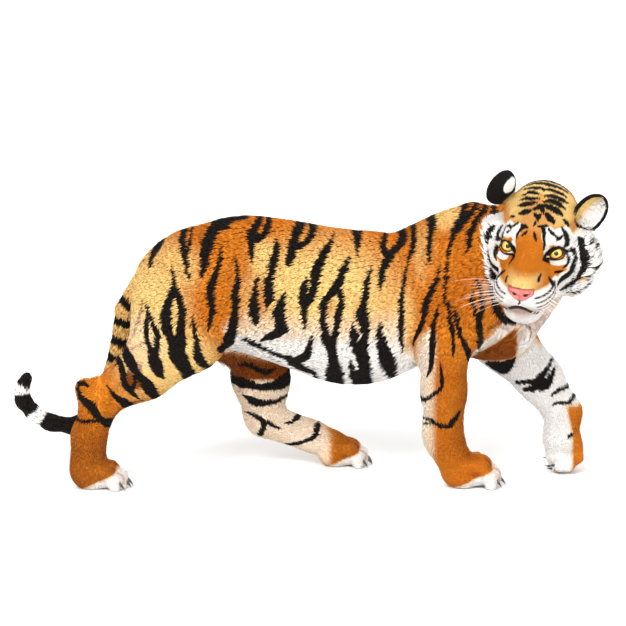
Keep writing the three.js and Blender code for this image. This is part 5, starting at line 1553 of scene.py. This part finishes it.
class Wire:  # a socket that takes part in sums
    def __init__(self, tree, socket=None):
        self.tree, self.socket = tree, socket

    def node(self, kind, settings=None, sockets=None, out=0):
        made = self.tree.nodes.new(kind)
        for name, value in (settings or {}).items():
            setattr(made, name, value)
        for name, value in (sockets or {}).items():
            if isinstance(value, Wire):
                self.tree.links.new(value.socket, made.inputs[name])
            else:
                made.inputs[name].default_value = value
        return Wire(self.tree, made.outputs[out])

    def sum(self, operation, *values):
        return self.node("ShaderNodeMath", dict(operation=operation), dict(enumerate(values)))

    def __add__(self, other):
        return self.sum("ADD", self, other)

    def __sub__(self, other):
        return self.sum("SUBTRACT", self, other)

    def __rsub__(self, other):
        return self.sum("SUBTRACT", other, self)

    def __mul__(self, other):
        return self.sum("MULTIPLY", self, other)

    __radd__, __rmul__ = __add__, __mul__

    def rise(self, low, high):  # 0 at low to 1 at high, smoothly
        sockets = {0: self, 1: low, 2: high, 3: 0.0, 4: 1.0}
        return self.node("ShaderNodeMapRange", dict(interpolation_type="SMOOTHSTEP"), sockets)

    def mix(self, a, b):  # from colour a to colour b by this factor
        settings = dict(data_type="RGBA", clamp_factor=True)
        sockets = {0: self, 6: colour(a), 7: colour(b)}
        return self.node("ShaderNodeMix", settings, sockets, 2)

    def tint(self, amount):  # a colour times a grey value
        settings = dict(operation="SCALE")
        return self.node("ShaderNodeVectorMath", settings, {0: self, 3: amount})

    def attribute(self, name, out="Fac"):
        return self.node("ShaderNodeAttribute", dict(attribute_name=name), out=out)

    def each(self):  # the three numbers of a vector
        made = self.node("ShaderNodeSeparateXYZ", None, {0: self})
        return [Wire(self.tree, out) for out in made.socket.node.outputs]

    def parts(self, name):  # and of an attribute
        return self.attribute(name, "Vector").each()

    def noise(self, scale, detail=2.0, stretch=(1, 1, 1)):
        place = self.node("ShaderNodeTexCoord", out="Object")
        place = self.node("ShaderNodeVectorMath", dict(operation="MULTIPLY"), {0: place, 1: stretch})
        sockets = {"Vector": place, "Scale": scale, "Detail": detail, "Roughness": 0.55}
        return self.node("ShaderNodeTexNoise", None, sockets)

    def bump(self, strength, distance):  # the normal of a surface with this height
        sockets = {"Height": self, "Strength": strength, "Distance": distance}
        return self.node("ShaderNodeBump", None, sockets)


def colour(value):
    return value if isinstance(value, Wire) else (*value, 1)


def seen(red, green, blue):  # a colour as a screen shows it, in the light's own measure
    return tuple(((v / 255 + 0.055) / 1.055) ** 2.4 if v > 10 else v / 3295 for v in (red, green, blue))


def finish(name, fixed, make):  # a material: its fixed values, and a function that gives its links
    material = bpy.data.materials.new(name)
    material.use_nodes = True
    tree = material.node_tree
    shader = tree.nodes["Principled BSDF"]
    for key, value in fixed.items():
        shader.inputs[key].default_value = value
    for key, value in make(Wire(tree)).items():
        tree.links.new(value.socket, shader.inputs[key])
    return material


coatColours = dict(
    orange=seen(208, 122, 28),
    deep=seen(192, 104, 18),
    gold=seen(236, 198, 124),
    # shadeBrown and shadedPale are the shade channel's colours, over the orange and over pale fur:
    # painted shade, and the darker brown of the lower legs
    shadeBrown=seen(128, 62, 10),
    cream=seen(238, 208, 172),
    white=seen(244, 240, 236),
    shadedPale=seen(206, 178, 162),
    black=seen(20, 15, 12),
    bare=seen(34, 24, 22),
)


def coatColour(w, wave, edge):  # the markings and the painted shade, the same on the skin and on the coat
    c = coatColours
    gold, pale, shade = w.parts("tones")
    ear, cup, spot = w.parts("earMarks")
    broad = w.noise(7, 3)
    hue = broad.rise(0.35, 0.7).mix(c["deep"], c["orange"])
    hue = gold.mix(hue, c["gold"])
    # the shade channel darkens the orange to brown and pale fur to greyish pink, as painted shade
    hue = shade.mix(hue, c["shadeBrown"])
    pale = pale + (broad - 0.5) * 0.25
    light = pale.rise(0.4, 0.9).mix(c["cream"], shade.mix(c["white"], c["shadedPale"]))
    hue = pale.rise(0.05, 0.5).mix(hue, light)
    stripe = (w.attribute("stripe") + wave).rise(edge, -edge)
    hue = stripe.mix(hue, c["black"])
    back = spot.rise(0.3, 0.7).mix(c["black"], c["white"])
    return ear.mix(hue, cup.rise(0.3, 0.8).mix(back, spot.mix(c["white"], c["gold"])))


def skinFinish(w):
    wave = (w.noise(90, 2) - 0.5) * 4
    hue = coatColour(w, wave, 1.6)
    bare = w.attribute("bare")
    hairs = w.noise(160, 3, (0.6, 2, 2))
    hue = hue.tint(hairs * 0.35 + 0.78)
    hue = bare.rise(0.3, 0.6).mix(hue, coatColours["bare"])
    return {"Base Color": hue, "Roughness": 0.72 - bare * 0.4, "Normal": hairs.bump(0.5, 0.002)}


def coatFinish(w):
    tip, across, vary = w.parts("hair")
    wave = (vary - 0.5) * 2
    hue = coatColour(w, wave, 1.2)
    place = w.node("ShaderNodeCombineXYZ", None, {0: across * 3, 1: tip * 0.7, 2: vary * 90})
    strand = w.node("ShaderNodeTexNoise", None, {"Vector": place, "Scale": 2.2, "Detail": 2.0})
    # darker towards the root: painted shade deep in the coat, and the roots' own darker colour; the rest
    # is random tone and strands
    light = (0.72 + tip * 0.36) * (0.9 + vary * 0.18) * (0.86 + strand * 0.34)
    return {
        "Base Color": hue.tint(light),
        "Roughness": 0.5 + strand * 0.3,
        "Normal": strand.bump(0.35, 0.0015),
    }


def noseFinish(w):
    pores = w.node("ShaderNodeTexVoronoi", None, {"Scale": 520.0})
    blotch = w.noise(60, 3)
    hue = blotch.rise(0.35, 0.7).mix(seen(216, 124, 116), seen(188, 90, 86))
    hue = w.attribute("rim").mix(hue, seen(150, 62, 54))
    # near black there: painted shade inside the nostrils
    hue = w.attribute("nostrilShade").rise(0.25, 0.7).mix(hue, seen(40, 12, 12))
    return {
        "Base Color": hue.tint(0.86 + pores * 0.2),
        "Roughness": 0.34 + blotch * 0.2,
        "Normal": pores.bump(0.45, 0.0008),
    }


def eyeFinish(w):
    polar, cosine, sine = w.parts("iris")
    place = w.node("ShaderNodeCombineXYZ", None, {0: cosine * 5, 1: sine * 5, 2: polar * 0.04})
    rays = w.node("ShaderNodeTexNoise", None, {"Vector": place, "Scale": 3.0, "Detail": 4.0})
    edge, pupil = eyeball["iris"], eyeball["pupil"]
    hue = (polar + rays * 8).rise(pupil, edge + 6).mix(seen(236, 202, 92), seen(192, 132, 34))
    hue = hue.tint(0.7 + rays * 0.55)
    hue = polar.rise(edge - 7, edge + 1).mix(hue, seen(40, 22, 10))
    hue = polar.rise(edge + 8, edge + 20).mix(hue, seen(150, 120, 100))
    hue = polar.rise(pupil + 1.5, pupil - 1).mix(hue, (0.003, 0.003, 0.003))
    return {"Base Color": hue, "Roughness": 0.16 + rays * 0.1}


def clawFinish(w):
    length = w.attribute("along")
    grain = w.noise(400, 2, (1, 1, 0.3))
    hue = (length + grain * 0.3).rise(0.1, 0.9).mix(seen(92, 74, 60), seen(26, 20, 17))
    return {"Base Color": hue, "Roughness": 0.24 + grain * 0.22, "Normal": grain.bump(0.2, 0.0005)}


def whiskerFinish(w):
    grain = w.noise(300, 2)
    hue = grain.mix(seen(206, 192, 180), seen(236, 226, 216))
    return {"Base Color": hue, "Roughness": 0.35 + grain * 0.2}


fur = {"Specular IOR Level": 0.12}
wet = {"Coat Weight": 0.6, "Coat Roughness": 0.02, "Specular IOR Level": 0.2}
finishes = dict(
    skin=finish("skin_coat", fur, skinFinish),
    coat=finish("coat_tufts", fur, coatFinish),
    nose=finish("nose_leather", {"Coat Weight": 0.25, "Coat Roughness": 0.3}, noseFinish),
    eye=finish("wet_eye", wet, eyeFinish),
    claw=finish("claw_horn", {"Coat Weight": 0.4, "Coat Roughness": 0.15}, clawFinish),
    whisker=finish("whisker_hair", {"Specular IOR Level": 0.4}, whiskerFinish),
)

view = dict(target=(10, 0, 570), away=6500, rise=10, frameWidth=2128, sensor=36)
cameraPlace = np.array(view["target"]) + view["away"] * np.array(
    [0, -math.cos(math.radians(view["rise"])), math.sin(math.radians(view["rise"]))]
)

print("pieces")

skin = addPiece("skin", skinMesh, finishes["skin"])
apart = ("eye_", "nose_pad", "claw_")
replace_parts(skin, *[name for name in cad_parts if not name.startswith(apart)])

skinMesh.calc_loop_triangles()
triangles = np.empty(len(skinMesh.loop_triangles) * 3, int)
skinMesh.loop_triangles.foreach_get("vertices", triangles)
triangles = triangles.reshape(-1, 3)
edgeA, edgeB = (skinPoints[triangles[:, i]] - skinPoints[triangles[:, 0]] for i in (1, 2))
area = np.linalg.norm(np.cross(edgeA, edgeB), axis=1)
skinPiece = pieceOf(skinPoints, skinParts)[triangles[:, 0]]
spread = tuftShape(skinPoints, skinNormals, skinMarks, skinParts)[triangles[:, 0], 1]
for i, name in enumerate(pieceNames):
    weight = area / spread**1.6 * (skinPiece == i)
    grown = growTufts(name, triangles, (skinPoints, skinNormals), weight, np.random.default_rng(40 + i))
    mesh = tuftMesh("coat_" + name, *grown)
    addPiece("coat_" + name, mesh, finishes["coat"])
    print("tufts on", name, len(grown[0]))

makeNose(finishes["nose"])
for side, node in zip(sides, ("eye_right", "eye_left")):
    makeEye(side, node, finishes["eye"], cameraPlace)
for legName in legs:
    for number, place in enumerate(pawSettings["toePlaces"], 1):
        makeClaw(legName, number, place, finishes["claw"])
makeWhiskers(finishes["whisker"], np.random.default_rng(7))

print("floor, light and camera")

# Each light has the way it comes from, its strength, and how wide it is in degrees.
studio = dict(
    floor=900,
    horizon=(1.05, 1.05, 1.05),
    sky=(0.98, 0.98, 0.98),
    key=((-0.5, -1.0, 1.0), 2.7, 24),
    fill=((0.9, -1.0, 0.6), 1.25, 60),
    back=((0.3, 1.0, 0.9), 1.0, 60),
)


def makeFloor():
    mesh = bpy.data.meshes.new("floor")
    half = studio["floor"]
    corners = [(-half, -half, 0), (half, -half, 0), (half, half, 0), (-half, half, 0)]
    mesh.from_pydata(corners, [], [(0, 1, 2, 3)])
    floor = bpy.data.objects.new("floor", mesh)
    bpy.context.collection.objects.link(floor)

    def pale(w):
        grain = w.noise(3, 3)
        hue = grain.mix((0.80, 0.80, 0.79), (0.84, 0.84, 0.83))
        return {"Base Color": hue, "Roughness": 0.8 + grain * 0.1}

    mesh.materials.append(finish("pale_floor", {"Specular IOR Level": 0.1}, pale))


def sunLight(name, place, power, spread):
    data = bpy.data.lights.new(name, "SUN")
    data.energy, data.angle = power, math.radians(spread)
    light = bpy.data.objects.new(name, data)
    light.rotation_euler = Vector(place).to_track_quat("Z", "Y").to_euler()
    bpy.context.collection.objects.link(light)


def makeSky():
    world = bpy.data.worlds.new("studio")
    world.use_nodes = True
    w = Wire(world.node_tree)
    height = w.node("ShaderNodeTexCoord", out="Generated").each()[2]
    shine = height.rise(0.02, 0.5).mix(studio["horizon"], studio["sky"])
    world.node_tree.links.new(shine.socket, world.node_tree.nodes["Background"].inputs["Color"])
    bpy.context.scene.world = world


makeFloor()
for name in ("key", "fill", "back"):
    sunLight(name, *studio[name])
makeSky()
bpy.context.scene.view_settings.view_transform = "Standard"

camera = bpy.data.objects.new("camera", bpy.data.cameras.new("camera"))
camera.data.sensor_width = view["sensor"]
camera.data.lens = view["sensor"] * view["away"] / view["frameWidth"]
camera.location = toMetres(cameraPlace)
look = Vector(toMetres(np.array(view["target"]))) - camera.location
camera.rotation_euler = look.to_track_quat("-Z", "Y").to_euler()
bpy.context.collection.objects.link(camera)
bpy.context.scene.camera = camera
